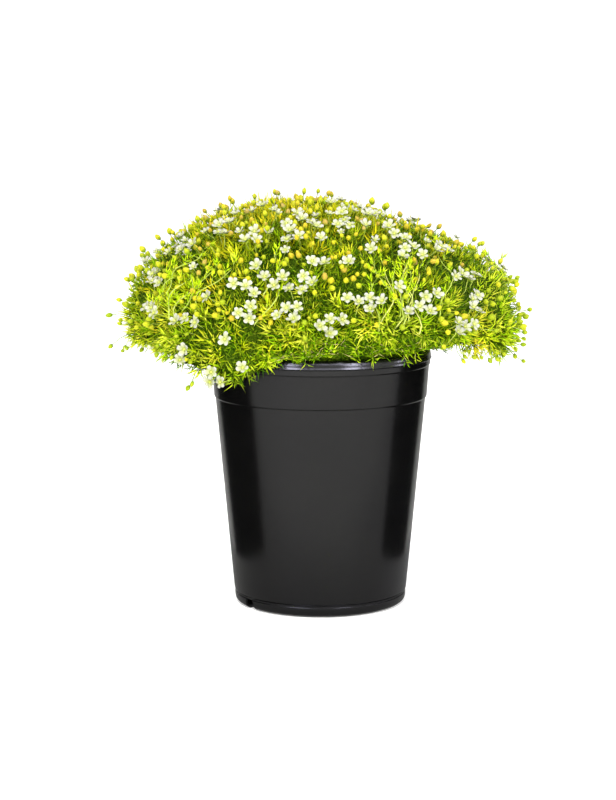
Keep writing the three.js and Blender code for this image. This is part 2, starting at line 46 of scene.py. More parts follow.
CAMERA_DOWN = 8.37
CAMERA_LEFT = 0.315
SENSOR_HEIGHT = 36.0
PICTURE_HEIGHT = 800
FOCAL_PIXELS = 2287
camera_data = bpy.data.cameras.new("camera")
camera_data.sensor_fit = "VERTICAL"
camera_data.sensor_height = SENSOR_HEIGHT
camera_data.lens = SENSOR_HEIGHT * FOCAL_PIXELS / PICTURE_HEIGHT
camera = bpy.data.objects.new("camera", camera_data)
camera.location = CAMERA_PLACE
camera.rotation_euler = (math.radians(90 - CAMERA_DOWN), 0, math.radians(CAMERA_LEFT))
scene = bpy.context.scene
scene.collection.objects.link(camera)
scene.camera = camera
scene.view_settings.view_transform = "Standard"

# Studio
# White light all round, softboxes over the front and low in front, and a pale table that glows a
# little. Four strip lights and five cards show only in gloss: the strips as the glints on the lip,
# the cards as the black bands, and the grey card's painted shadow as the darker foot of the pot.
MM = 0.001
TURN = 2 * math.pi
BLACK = (0, 0, 0, 1)
WHITE = (1, 1, 1, 1)
SQUARE = ((-1, -1), (1, -1), (1, 1), (-1, 1))


def paint(code):
    """A colour as it looks on a screen, such as "#a9c81e", as linear light."""
    parts = [int(code[i:i + 2], 16) / 255 for i in (1, 3, 5)]
    linear = [p / 12.92 if p < 0.04045 else ((p + 0.055) / 1.055) ** 2.4 for p in parts]
    return (*linear, 1.0)


class Value:
    """A socket of a material in the making, which can be used in sums."""

    def __init__(self, finish, socket):
        self.finish = finish
        self.socket = socket

    def sum(self, operation, *numbers):
        return self.finish.node("ShaderNodeMath", {"operation": operation}, dict(enumerate(numbers)))

    def __add__(self, other):
        return self.sum("ADD", self, other)

    def __sub__(self, other):
        return self.sum("SUBTRACT", self, other)

    def __rsub__(self, other):
        return self.sum("SUBTRACT", other, self)

    def __mul__(self, other):
        return self.sum("MULTIPLY", self, other)

    __radd__ = __add__
    __rmul__ = __mul__


class Finish:
    """A material in the making."""

    def __init__(self, name, **constants):
        self.material = bpy.data.materials.new(name)
        self.material.use_nodes = True
        self.tree = self.material.node_tree
        self.shader = self.tree.nodes["Principled BSDF"]
        for key, number in constants.items():
            self.shader.inputs[key.replace("_", " ")].default_value = number

    def node(self, kind, settings=None, sockets=None, out=0):
        """Adds a node: its settings first, then its sockets, each a number, a colour or a Value."""
        made = self.tree.nodes.new(kind)
        for key, setting in (settings or {}).items():
            if key == "stops":
                ramp = made.color_ramp.elements
                while len(ramp) < len(setting):
                    ramp.new(0.5)
                for element, (place, colour) in zip(ramp, setting):
                    element.position = place
                    element.color = colour
            else:
                setattr(made, key, setting)
        for key, given in (sockets or {}).items():
            if isinstance(given, Value):
                self.tree.links.new(given.socket, made.inputs[key])
            else:
                made.inputs[key].default_value = given
        return Value(self, made.outputs[out])

    def place(self, axis):
        """How far along X, Y or Z a point of the piece lies, in metres."""
        spot = self.node("ShaderNodeTexCoord", out="Object")
        return self.node("ShaderNodeSeparateXYZ", None, {0: spot}, out=axis)

    def noise(self, scale, detail=3.0):
        """Cloudy noise, fixed to the piece; scale counts its lumps in a metre."""
        place = self.node("ShaderNodeTexCoord", out="Object")
        return self.node("ShaderNodeTexNoise", None, {"Vector": place, "Scale": scale, "Detail": detail})

    def ramp(self, factor, *stops):
        return self.node("ShaderNodeValToRGB", {"stops": stops}, {0: factor})

    def mix(self, factor, one, other, blend="MIX"):
        settings = {"data_type": "RGBA", "blend_type": blend}
        return self.node("ShaderNodeMix", settings, {0: factor, 6: one, 7: other}, out=2)

    def kept(self, name):
        """A number that the mesh keeps at each point."""
        return self.node("ShaderNodeAttribute", {"attribute_name": name}, out="Fac")

    def bump(self, height, strength, distance):
        sockets = {"Height": height, "Strength": strength, "Distance": distance}
        self.use("Normal", self.node("ShaderNodeBump", None, sockets))

    def use(self, socket, value):
        self.tree.links.new(value.socket, self.shader.inputs[socket])


def piece_of(name, points, faces, finish, kept=None):
    """An object from points in millimetres and faces; kept holds a number for each point."""
    mesh = bpy.data.meshes.new(name)
    mesh.from_pydata(np.asarray(points, float) * MM, [], faces)
    mesh.polygons.foreach_set("use_smooth", np.full(len(mesh.polygons), True))
    for key, numbers in (kept or {}).items():
        values = np.asarray(numbers, np.float32)
        mesh.attributes.new(key, "FLOAT", "POINT").data.foreach_set("value", values)
    mesh.materials.append(finish.material)
    made = bpy.data.objects.new(name, mesh)
    scene.collection.objects.link(made)
    return made


WORLD_LIGHT = 1.25
world = bpy.data.worlds.new("studio")
world.use_nodes = True
world.node_tree.nodes["Background"].inputs["Color"].default_value = WHITE
world.node_tree.nodes["Background"].inputs["Strength"].default_value = WORLD_LIGHT
scene.world = world

# Each lamp: its turn from straight in front, height, distance along the floor, width, length,
# power and colour
KEY_LAMP = (-12, 1400, 900, 900, 900, 18.0, "#fffdf4")
FILL_LAMP = (6, 330, 1500, 900, 900, 22.0, "#fffef8")
STRIPS = (
    (-34, 900, 900, 460, 1500, 36.0, "#e4e2ff"), (34, 900, 900, 340, 1500, 28.0, "#e8e6ff"),
    (94, 900, 900, 420, 1500, 32.0, "#e8e6ff"), (0, 615, 900, 2100, 150, 4.5, "#e8e6ff"))
AIM = Vector((0, 0, 200))
for turn, height, away, width, length, watts, colour in (KEY_LAMP, FILL_LAMP, *STRIPS):
    light = bpy.data.lights.new("softbox", "AREA")
    light.shape = "RECTANGLE"
    light.size = width * MM
    light.size_y = length * MM
    light.energy = watts
    light.color = paint(colour)[:3]
    softbox = bpy.data.objects.new("softbox", light)
    place = Vector((math.sin(math.radians(turn)), -math.cos(math.radians(turn)), 0)) * away
    place.z = height
    softbox.location = place * MM
    softbox.rotation_euler = (AIM - place).to_track_quat("-Z", "Y").to_euler()
    softbox.visible_camera = False
    softbox.visible_diffuse = width == KEY_LAMP[3]
    softbox.visible_glossy = width != KEY_LAMP[3]
    scene.collection.objects.link(softbox)

FLOOR_HALF = 2600
floor_paint = Finish("floor_paint", Roughness=0.75, Emission_Strength=0.3)
floor_paint.shader.inputs["Emission Color"].default_value = WHITE
cloud = floor_paint.noise(6)
floor_paint.use("Base Color", floor_paint.ramp(
    cloud, (0.3, paint("#f6f6f5")), (0.7, paint("#fbfbfa"))))
floor_corners = [(x * FLOOR_HALF, y * FLOOR_HALF, 0) for x, y in SQUARE]
floor = piece_of("floor", floor_corners, [(0, 1, 2, 3)], floor_paint)

# On each side a black card stands beside the pot and a pale one behind it: how far from the pot's
# axis, their edges, and the front end, the joint and the back end. The grey card lies on the table,
# with painted shadow that darkens it towards the pot.
CARD = {"away": 124, "low": 8, "top": 186}
CARD_ENDS = {-1: (-72, 56, 800), 1: (-53, 56, 800)}
PAINTED_SHADOW_CARD = {"half": 900, "front": -1100, "back": 420, "height": 1.5}
black_paint = Finish("black_card", Roughness=0.9, Base_Color=paint("#0a0a0a"))
pale_paint = Finish("pale_card", Roughness=0.9, Base_Color=paint("#b8b8b6"))
painted_shadow_paint = Finish("painted_shadow_card", Roughness=0.9)
# Painted shadow: the card is darker towards the pot, where the pot and plant shade the table.
painted_shadow_paint.use("Base Color", painted_shadow_paint.ramp(
    0.0 - painted_shadow_paint.place(1), (0.06, paint("#787876")), (0.12, paint("#8a8a88")),
    (0.18, paint("#a6a6a4")), (0.26, paint("#acacaa"))))
cards = []
for side, (front, middle, back) in CARD_ENDS.items():
    x = side * CARD["away"]
    low, top = CARD["low"], CARD["top"]
    for name, finish, start, end in (
        ("black_card", black_paint, front, middle), ("pale_card", pale_paint, middle, back),
    ):
        cards.append((name, finish, [(x, start, low), (x, end, low), (x, end, top), (x, start, top)]))
half, height = PAINTED_SHADOW_CARD["half"], PAINTED_SHADOW_CARD["height"]
front, back = PAINTED_SHADOW_CARD["front"], PAINTED_SHADOW_CARD["back"]
cards.append(("painted_shadow_card", painted_shadow_paint, [
    (-half, front, height), (half, front, height), (half, back, height), (-half, back, height)]))
for name, finish, corners in cards:
    card = piece_of(name, corners, [(0, 1, 2, 3)], finish)
    card.visible_camera = False
    card.visible_diffuse = False
    card.visible_shadow = False
    card.visible_transmission = False

# Pot
# One moulding of glossy black plastic, turned from an outline with a soft radius at each corner:
# foot bead, straight taper, ledge, band and rolled lip, with drain notches and holes below.
POT_SIDES = 192
# Corners from the middle of the underside round the foot, wall and lip to the floor inside:
# radius, height, and how far the corner is rounded
POT_OUTLINE = (
    (0, 0, 0), (24, 0, 0.8), (25.2, 1.2, 0.8), (48.8, 1.2, 0.8), (50, 0, 0.8),
    (57.4, 0, 1.0), (60.2, 2.3, 1.6), (60.7, 4.4, 0.9), (60.9, 7.05, 0.08), (59.95, 7.2, 0.08),
    (60.0, 8.4, 0.3), (61.2, 9.7, 0.6), (74.15, 146.9, 0.3), (75.05, 147.8, 0.3), (76.65, 170.1, 0.3),
    (77.4, 170.9, 0.3), (77.5, 174.5, 0.3), (78.3, 175.1, 0.25), (78.3, 175.4, 0), (78.27, 175.5, 0),
    (77.97, 176.44, 0), (77.93, 176.6, 0), (77.92, 177.3, 0), (77.76, 178.3, 0), (77.46, 179.4, 0),
    (76.95, 180.5, 0), (76.2, 181.05, 0), (75.4, 181.15, 0), (74.6, 180.7, 0.4), (74.6, 177.5, 2),
    (75.5, 170, 2), (72.7, 148, 2), (59.8, 10.6, 2), (58.6, 2.8, 1.2), (0, 2.8, 0),
)
LAND = 0.42
NOTCH = {"width": 9.5, "height": 7.2, "turns": (-145, 35), "corner": 2.2, "radius": 60, "depth": 18}
DRAIN = {"radius": 4.5, "ring": 38, "count": 4, "low": -4, "high": 8, "sides": 24}
SHARP = math.radians(38)


def softened(outline, steps=5):
    """The outline with each corner rounded off, over no more than LAND of the edges beside it."""
    made = []
    last = len(outline) - 1
    for i, (radius, height, soft) in enumerate(outline):
        here = Vector((radius, height))
        if i in (0, last) or soft == 0:
            made.append(here)
            continue
        before = Vector(outline[i - 1][:2]) - here
        after = Vector(outline[i + 1][:2]) - here
        cut = min(soft, LAND * before.length, LAND * after.length)
        start = here + before.normalized() * cut
        end = here + after.normalized() * cut
        for step in range(steps + 1):
            part = step / steps
            made.append(start.lerp(here, part).lerp(here.lerp(end, part), part))
    return made


def turned(outline, sides):
    """Points and faces of an outline that starts and ends on the axis, turned round it."""
    rings = len(outline) - 2
    turns = [TURN * i / sides for i in range(sides)]
    points = [(0, 0, outline[0][1])]
    for radius, height in outline[1:-1]:
        points += [(radius * math.cos(t), radius * math.sin(t), height) for t in turns]
    points.append((0, 0, outline[-1][1]))
    faces = []
    for i in range(sides):
        j = (i + 1) % sides
        faces.append((0, 1 + j, 1 + i))
        for ring in range(rings - 1):
            low = 1 + ring * sides
            faces.append((low + i, low + j, low + sides + j, low + sides + i))
        top = 1 + (rings - 1) * sides
        faces.append((top + i, top + j, len(points) - 1))
    return points, faces


def block(half, centre, turn):
    """A box as points and faces, turned round the upright axis."""
    corners = [(x, y, z) for z in (-1, 1) for x, y in SQUARE]
    points = []
    for x, y, z in corners:
        at = (x * half[0] + centre[0], y * half[1] + centre[1], z * half[2] + centre[2])
        points.append((at[0] * math.cos(turn) - at[1] * math.sin(turn),
                       at[0] * math.sin(turn) + at[1] * math.cos(turn), at[2]))
    faces = [(3, 2, 1, 0), (4, 5, 6, 7)]
    faces += [(i, (i + 1) % 4, (i + 1) % 4 + 4, i + 4) for i in range(4)]
    return points, faces


plastic = Finish("black_plastic", Specular_IOR_Level=0.45, IOR=1.5)
grain = plastic.noise(1400, 2)
smear = plastic.noise(22, 4)
scuff = plastic.noise(160, 5)
plastic.use("Base Color", plastic.ramp(smear, (0.3, paint("#040404")), (0.75, paint("#080807"))))
plastic.use("Roughness", 0.13 + 0.08 * smear + 0.05 * scuff)
plastic.bump(grain, 0.12, 0.0002)

outline = softened(POT_OUTLINE)
pot = piece_of("moulded_pot", *turned(outline, POT_SIDES), plastic)
cutters = []
for degrees in NOTCH["turns"]:
    half = (NOTCH["depth"], NOTCH["width"] / 2, NOTCH["height"])
    points, faces = block(half, (NOTCH["radius"], 0, 0), math.radians(degrees))
    cutters.append(piece_of("notch_cutter", points, faces, plastic))
    rounding = cutters[-1].modifiers.new("round", "BEVEL")
    rounding.width = NOTCH["corner"] * MM
    rounding.segments = 3
for i in range(DRAIN["count"]):
    turn = (i + 0.5) * TURN / DRAIN["count"]
    low, high = DRAIN["low"], DRAIN["high"]
    tube = [(0, low), (DRAIN["radius"], low), (DRAIN["radius"], high), (0, high)]
    points, faces = turned(tube, DRAIN["sides"])
    shift = (DRAIN["ring"] * math.cos(turn), DRAIN["ring"] * math.sin(turn), 0)
    points = [[a + b for a, b in zip(point, shift)] for point in points]
    cutters.append(piece_of("drain_cutter", points, faces, plastic))
for cutter in cutters:
    cut = pot.modifiers.new("cut", "BOOLEAN")
    cut.operation = "DIFFERENCE"
    cut.solver = "EXACT"
    cut.object = cutter
sight = bpy.context.evaluated_depsgraph_get()
pot.data = bpy.data.meshes.new_from_object(pot.evaluated_get(sight))
pot.modifiers.clear()
for cutter in cutters:
    bpy.data.objects.remove(cutter)
pot.data.polygons.foreach_set("use_smooth", np.full(len(pot.data.polygons), True))
pot.data.set_sharp_from_angle(angle=SHARP)
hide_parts("pot")
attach(pot, "root")

# Potting mix
# Moist dark peat and bark crumb, poured in to just below the lip and washed back a little from the
# notches in the foot. The plant hides it, but it is the bed that the stems stand in.
SOIL_TOP = 170.7
SOIL_SIDE = ((50.0, 3.2), (53.0, 8.6), (59.6, 12.6), (72.3, 147.6), (74.6, 168.4))
SOIL_RINGS = 26
SOIL_SIDES = 96
CRUMB = {"height": 0.8, "fine": 0.32, "coarse": 0.05}
peat = Finish("potting_mix", Roughness=0.95)
crumb = peat.noise(420, 6)
peat.use("Base Color", peat.ramp(
    crumb, (0.3, paint("#1a100a")), (0.5, paint("#3a2718")), (0.62, paint("#2a1b10")),
    (0.75, paint("#6a4b30"))))
peat.bump(crumb, 0.8, 0.001)
edge_radius, edge_height = SOIL_SIDE[-1]
profile = [(0, SOIL_SIDE[0][1]), *SOIL_SIDE]
for i in range(SOIL_RINGS):
    profile.append((edge_radius * (1 - (i + 0.5) / SOIL_RINGS), SOIL_TOP - 1))
profile.append((0, SOIL_TOP - 1))
points, faces = turned(profile, SOIL_SIDES)
crumbled = []
for x, y, z in points:
    if z > edge_height:
        fine = noise.noise(Vector((x, y, 0)) * CRUMB["fine"])
        z += CRUMB["height"] * (fine + noise.noise(Vector((x, y, 5)) * CRUMB["coarse"]))
    crumbled.append((x, y, z))
soil = piece_of("peat_and_bark", crumbled, faces, peat)
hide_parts("soil")
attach(soil, "root")

# Thatch
# Under the leaves the plant is a mat of old stems and shaded leaves, grown into a dome that fills
# the pot, hangs over the lip and stands on the mix. It is parted into twelve clumps.
# At eight even steps round the plant, from +X: its radius, the height of its underside, and its
# rise from the widest height to the shoulders
PLAN_RADIUS = (142, 139, 131, 137, 140, 116, 98, 120)
UNDERSIDE = (172, 176, 176, 175, 177, 166, 191, 186)
RISE_ASIDE = (77, 80, 85, 88, 89, 87, 84, 80)
DROOP = {"azimuth": 241, "width": 14, "depth": 14}
WIDEST_HEIGHT = 200
DOME_RISE = 86
DOME_POWER = 2.2
SKIRT_TUCK = 14
LUMP_DEPTH = 0.018
LUMPS = ((5, 0.7), (8, 2.1), (13, 4.4))
DOME_BANDS = 60
DOME_END = 1.4
GOLDEN_TURN = math.pi * (3 - math.sqrt(5))
CLUMP_GAP = 0.5
HEART = np.array((0, 0, 150.0))
NECK = {"outer": 82, "over": 80, "inner": 72, "top": 190, "fall": 3, "rim": 183.4}
THATCH = {"inset": 12.5, "rough": 3.0, "scale": 0.11, "turns": 120, "rows": 40, "from": 0.03, "to": 1.5}
THATCH_FOOT = SOIL_TOP + 0.8


def around(values, azimuth):
    """Reads values given at even steps round the axis, smoothly, at any azimuth."""
    values = np.asarray(values, float)
    at = (azimuth / TURN % 1.0) * len(values)
    here = np.floor(at).astype(int)
    part = at - here
    a, b, c, d = (values[(here + step) % len(values)] for step in (-1, 0, 1, 2))
    return b + 0.5 * part * (c - a + part * (2 * a - 5 * b + 4 * c - d + part * (3 * (b - c) + d - a)))


def plan_radius(azimuth):
    """The plant's radius seen from above, with its lumps."""
    lump = sum(np.sin(count * azimuth + turn) for count, turn in LUMPS)
    return around(PLAN_RADIUS, azimuth) * (1 + LUMP_DEPTH * lump)


def skirt_fall(azimuth):
    """How far the skirt hangs below the widest height."""
    turn = azimuth - math.radians(DROOP["azimuth"])
    off = np.arctan2(np.sin(turn), np.cos(turn)) / math.radians(DROOP["width"])
    return WIDEST_HEIGHT - around(UNDERSIDE, azimuth) + DROOP["depth"] * np.exp(-off * off)


def dome_point(azimuth, way):
    """A point of the leaf-tip dome: way is 0 at the top, 1 at the widest, 1.5 under the skirt."""
    azimuth, way = np.broadcast_arrays(np.asarray(azimuth, float), np.asarray(way, float))
    lean = np.minimum(way, 1) * math.pi / 2
    tuck = np.maximum(way - 1, 0) * math.pi
    out = plan_radius(azimuth) * np.sin(lean) - SKIRT_TUCK * (1 - np.cos(tuck))
    rise = DOME_RISE + (around(RISE_ASIDE, azimuth) - DOME_RISE) * np.sqrt(np.abs(np.sin(lean)))
    rise = rise * np.maximum(np.cos(lean), 0) ** (2 / DOME_POWER)
    height = WIDEST_HEIGHT + rise - skirt_fall(azimuth) * np.sin(tuck)
    return np.stack([out * np.cos(azimuth), out * np.sin(azimuth), height], -1)


def unit(vectors):
    """The vectors at length 1."""
    return vectors / np.maximum(np.linalg.norm(vectors, axis=-1, keepdims=True), 1e-9)


def dome_normal(azimuth, way):
    """The direction straight out of the dome at a point."""
    small = 0.01
    way = np.maximum(way, 0.03)
    along = dome_point(azimuth, way + small) - dome_point(azimuth, way - small)
    side = dome_point(azimuth + small, way) - dome_point(azimuth - small, way)
    return unit(np.cross(along, side))


band_ways = np.linspace(0, DOME_END, DOME_BANDS + 1)
band_edges = dome_point(0, band_ways)
band_widths = np.linalg.norm(np.diff(band_edges, axis=0), axis=-1)
band_areas = (band_edges[1:, 0] + band_edges[:-1, 0]) / 2 * band_widths
area_to = np.concatenate([[0], np.cumsum(band_areas)])


def spread(count, first_turn):
    """Azimuths and ways of places spread evenly over the dome."""
    number = np.arange(count)
    way = np.interp((number + 0.5) / count * area_to[-1], area_to, band_ways)
    return (number * GOLDEN_TURN + first_turn) % TURN, way


def polar(radius, azimuth):
    """X and Y of points at a radius and an azimuth."""
    return np.stack([radius * np.cos(azimuth), radius * np.sin(azimuth)], -1)


# Middles of the clumps in plan: a crown, an inner ring of four and an outer ring of seven
inner_turns = (np.arange(4) + 0.25) * TURN / 4
outer_turns = np.arange(7) * TURN / 7 + math.radians(12)
seeds = np.concatenate([
    [(2, 8)],
    polar(0.42 * plan_radius(inner_turns), inner_turns),
    polar(0.83 * plan_radius(outer_turns), outer_turns),
])
CLUMPS = len(seeds)


def owner(points):
    """Which clump each point belongs to, the one whose middle is nearest in plan."""
    gaps = np.linalg.norm(points[:, None, :2] - seeds[None], axis=-1)
    return gaps.argmin(axis=1)


# The thatch's dark greens and olives are partly the old stems' own colour and partly painted shade of the
# plant's depths.
stems_and_painted_shade = Finish("thatch", Roughness=0.9, Specular_IOR_Level=0.02)
fibre = stems_and_painted_shade.noise(700, 6)
patch = stems_and_painted_shade.noise(60, 3)
stems_and_painted_shade.use("Base Color", stems_and_painted_shade.mix(
    patch,
    stems_and_painted_shade.ramp(fibre, (0.35, paint("#173302")), (0.55, paint("#2c5206")), (0.7, paint("#527a12"))),
    stems_and_painted_shade.ramp(fibre, (0.35, paint("#263204")), (0.55, paint("#465208")), (0.7, paint("#747420")))))
stems_and_painted_shade.bump(fibre, 0.9, 0.0015)

turns = THATCH["turns"]
azimuths = np.arange(turns) * TURN / turns
rows = []
for way in np.linspace(THATCH["from"], THATCH["to"], THATCH["rows"]):
    ring = dome_point(azimuths, way) - THATCH["inset"] * dome_normal(azimuths, way)
    lifts = [noise.noise(Vector(p) * THATCH["scale"]) for p in ring]
    rows.append(ring + THATCH["rough"] * np.array(lifts)[:, None] * dome_normal(azimuths, way))
under = np.minimum(around(UNDERSIDE, azimuths) + THATCH["inset"], NECK["top"])
for radius, height in (
    (NECK["outer"], under),
    (NECK["over"], np.maximum(under - NECK["fall"], NECK["rim"])),
    (NECK["inner"], np.full(turns, NECK["rim"])),
    (NECK["inner"] - 1, np.full(turns, THATCH_FOOT)),
):
    rows.append(np.concatenate([polar(radius, azimuths), height[:, None]], axis=1))
crown = [(0, 0, WIDEST_HEIGHT + DOME_RISE - THATCH["inset"])]
foot = [(0, 0, THATCH_FOOT)]
thatch_points = np.concatenate([crown, *rows, foot])
thatch_faces = []
for i in range(turns):
    j = (i + 1) % turns
    thatch_faces.append((0, 1 + i, 1 + j))
    for row in range(len(rows) - 1):
        low = 1 + row * turns
        thatch_faces.append((low + i, low + turns + i, low + turns + j, low + j))
    low = 1 + (len(rows) - 1) * turns
    thatch_faces.append((low + i, len(thatch_points) - 1, low + j))

for own in range(CLUMPS):
    name = f"moss_clump_{own + 1:02d}"
    piece = piece_of(f"thatch_{own + 1:02d}", thatch_points, thatch_faces, stems_and_painted_shade)
    shape = bmesh.new()
    shape.from_mesh(piece.data)
    for other in range(CLUMPS):
        if other == own:
            continue
        out = unit(seeds[other] - seeds[own])
        middle = (seeds[other] + seeds[own]) / 2 - out * CLUMP_GAP / 2
        everything = shape.verts[:] + shape.edges[:] + shape.faces[:]
        cut = bmesh.ops.bisect_plane(
            shape, geom=everything, plane_co=(*middle * MM, 0), plane_no=(*out, 0), clear_outer=True)
        rim = [e for e in cut["geom_cut"] if isinstance(e, bmesh.types.BMEdge)]
        bmesh.ops.holes_fill(shape, edges=rim, sides=0)
    bmesh.ops.triangulate(shape, faces=[f for f in shape.faces if len(f.verts) > 4])
    shape.to_mesh(piece.data)
    shape.free()
    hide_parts(name)
    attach(piece, "root")

# Blooms
# Small white flowers in sprays: five separate petals in a shallow cup, five green sepals showing
# in the gaps between them, and a greenish middle with ten thin stamens.
# Each one's place and turn come from its solid, whose hubs are the corners of many faces.
HUB_FACES = 14
CALYX_DEPTH = 1.8
GAP_REACH = 2.1
PETAL = {"from": 0.5, "to": 4.8, "half": 1.62, "cup": 1.0, "thick": 0.2}
SEPAL = {"from": 0.4, "to": 3.1, "half": 0.62, "cup": 0.3, "thick": 0.22}
SEPAL_DROP = 0.45
OVARY = ((0, -0.6), (0.7, -0.2), (0.9, 0.4), (0.55, 0.95), (0, 1.2))
STAMENS = 10
PEDICEL = 0.3
NOD = {"up": 1.5, "back": 45, "share": 1.1, "any": 0.3}
UP = np.array((0, 0, 1.0))
rng = np.random.default_rng(11)


def blooms_of(node):
    """Middle, axis and turn of each bloom of a spray, read from its solid."""
    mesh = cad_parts[node].data
    mesh.calc_loop_triangles()
    corners = np.zeros(len(mesh.loop_triangles) * 3, np.int32)
    mesh.loop_triangles.foreach_get("vertices", corners)
    places = np.zeros(len(mesh.vertices) * 3, np.float32)
    mesh.vertices.foreach_get("co", places)
    places = np.round(places.reshape(-1, 3)[corners] / MM, 2)
    spots, counts = np.unique(places, axis=0, return_counts=True)
    hubs = spots[counts >= HUB_FACES].astype(float)
    found = []
    for hub in hubs:
        gaps = np.linalg.norm(hubs - hub, axis=1)
        calyx = hubs[np.abs(gaps - CALYX_DEPTH) < 0.1]
        if len(calyx) == 0 or np.linalg.norm(hub - HEART) < np.linalg.norm(calyx[0] - HEART):
            continue
        axis = unit(hub - calyx[0])
        near = spots[np.abs(np.linalg.norm(spots - hub, axis=1) - GAP_REACH) < 0.06] - hub
        side = unit(np.cross(axis, UP))
        over = np.cross(axis, side)
        angles = np.arctan2(near @ over, near @ side)
        turn = np.angle(-np.exp(5j * angles).sum()) / 5
        found.append((hub, axis, turn))
    return found


def leaf_shape(size, rows, columns, lift):
    """A small petal or sepal that lies along +X, as a closed body: its points and faces."""
    along, across = np.meshgrid(np.linspace(0, 1, rows), np.linspace(-1, 1, columns), indexing="ij")
    half = size["half"] * (0.2 + 0.8 * np.sin(math.pi * (0.1 + 0.78 * along ** 1.2)) ** 0.75)
    x = size["from"] + (size["to"] - size["from"]) * along * (1 - 0.06 * across ** 2 * (along > 0.9))
    y = across * half
    z = size["cup"] * along ** 1.5 + 0.3 * across ** 2 * half - 0.3 * along ** 5 + lift * along
    sheet = np.stack([x, y, z], -1)
    shift = np.array((0, 0, size["thick"] / 2))
    points = np.concatenate([(sheet + shift).reshape(-1, 3), (sheet - shift).reshape(-1, 3)])
    under = rows * columns
    index = np.arange(under).reshape(rows, columns)
    faces = []
    for i in range(rows - 1):
        for j in range(columns - 1):
            a, b, c, d = index[i, j], index[i + 1, j], index[i + 1, j + 1], index[i, j + 1]
            faces += [(a, b, c, d), (a + under, d + under, c + under, b + under)]
    rim = [*index[0, :], *index[1:, -1], *index[-1, -2::-1], *index[-2:0:-1, 0]]
    for a, b in zip(rim, rim[1:] + rim[:1]):
        faces.append((a, b, b + under, a + under))
    return points, faces, np.concatenate([along.ravel(), along.ravel()])


def spindles(paths, widths, sides=3):
    """Thin closed bodies along paths of k points each, pointed at both ends.

    widths are the radii at the inner points. Gives points, faces and how far along each point is."""
    paths = np.asarray(paths, float)
    count, k = paths.shape[:2]
    widths = np.broadcast_to(widths, (count, k - 2))
    ahead = unit(paths[:, 2:] - paths[:, :-2])
    whole = unit(paths[:, -1] - paths[:, 0])
    upright = np.abs(whole[:, 2:3]) > 0.9
    helper = np.where(upright, (1.0, 0.0, 0.0), (0.0, 0.0, 1.0))[:, None]
    across = unit(np.cross(ahead, np.broadcast_to(helper, ahead.shape)))
    over = np.cross(ahead, across)
    turns = np.arange(sides) * TURN / sides
    ring = across[:, :, None] * np.cos(turns)[:, None] + over[:, :, None] * np.sin(turns)[:, None]
    each = 2 + (k - 2) * sides
    body = (paths[:, 1:-1, None] + ring * widths[:, :, None, None]).reshape(count, each - 2, 3)
    points = np.concatenate([paths[:, :1], body, paths[:, -1:]], axis=1)
    faces = []
    for i in range(sides):
        j = (i + 1) % sides
        faces.append((0, 1 + j, 1 + i))
        for row in range(k - 3):
            low = 1 + row * sides
            faces += [(low + i, low + j, low + sides + j), (low + i, low + sides + j, low + sides + i)]
        low = 1 + (k - 3) * sides
        faces.append((low + i, low + j, each - 1))
    faces = np.array(faces)[None] + (np.arange(count) * each)[:, None, None]
    shares = np.concatenate([[0], np.repeat(np.arange(1, k - 1) / (k - 1), sides), [1]])
    return points.reshape(-1, 3), faces.reshape(-1, 3), np.tile(shares, count)


class Gathering:
    """Bodies gathered into one mesh, with the numbers that their points keep.

    A kept number is given once for all, or for each body or each point."""

    def __init__(self):
        self.points = []
        self.faces = []
        self.kept = {}
        self.count = 0

    def add(self, points, faces, **kept):
        self.points.append(np.asarray(points))
        self.faces += [tuple(int(c) + self.count for c in face) for face in faces]
        for key, numbers in kept.items():
            numbers = np.atleast_1d(numbers)
            each = len(points) // max(len(numbers), 1)
            self.kept.setdefault(key, []).append(np.repeat(numbers, each))
        self.count += len(points)

    def add_spindles(self, paths, widths, sides=3, **kept):
        points, faces, share = spindles(paths, widths, sides)
        self.add(points, faces, along=share, **kept)

    def piece(self, name, finish):
        kept = {key: np.concatenate(parts) for key, parts in self.kept.items()}
        return piece_of(name, np.concatenate(self.points), self.faces, finish, kept)


bloom = Finish("bloom", Roughness=0.6, Specular_IOR_Level=0.3)
along = bloom.kept("along")
kind = bloom.kept("kind")
vein = bloom.noise(1500, 3)
# Petals are greenish and cream towards the base, their own colour, and darker there as painted shade inside
# the cup.
petal_colour_and_shade = bloom.ramp(
    along + 0.12 * vein, (0.06, paint("#8a9c2e")), (0.24, paint("#999f59")), (0.55, paint("#9b9f7b")),
    (0.9, paint("#a2a398")))
sepal_colour = bloom.ramp(along + 0.3 * vein, (0.1, paint("#688c14")), (0.9, paint("#9cb02c")))
heart_colour = bloom.ramp(along, (0.0, paint("#a9b82c")), (1.0, paint("#d6d486")))
bloom.use("Base Color", bloom.mix(
    bloom.ramp(kind, (0.5, BLACK), (0.51, WHITE)), petal_colour_and_shade,
    bloom.mix(bloom.ramp(kind, (0.75, BLACK), (0.76, WHITE)), sepal_colour, heart_colour)))
bloom.bump(vein, 0.25, 0.0002)

bloom_middles = []
bloom_axes = []
# The number that each kind of part keeps for its colour
KIND = {"petal": 0.0, "sepal": 0.6, "heart": 1.0}


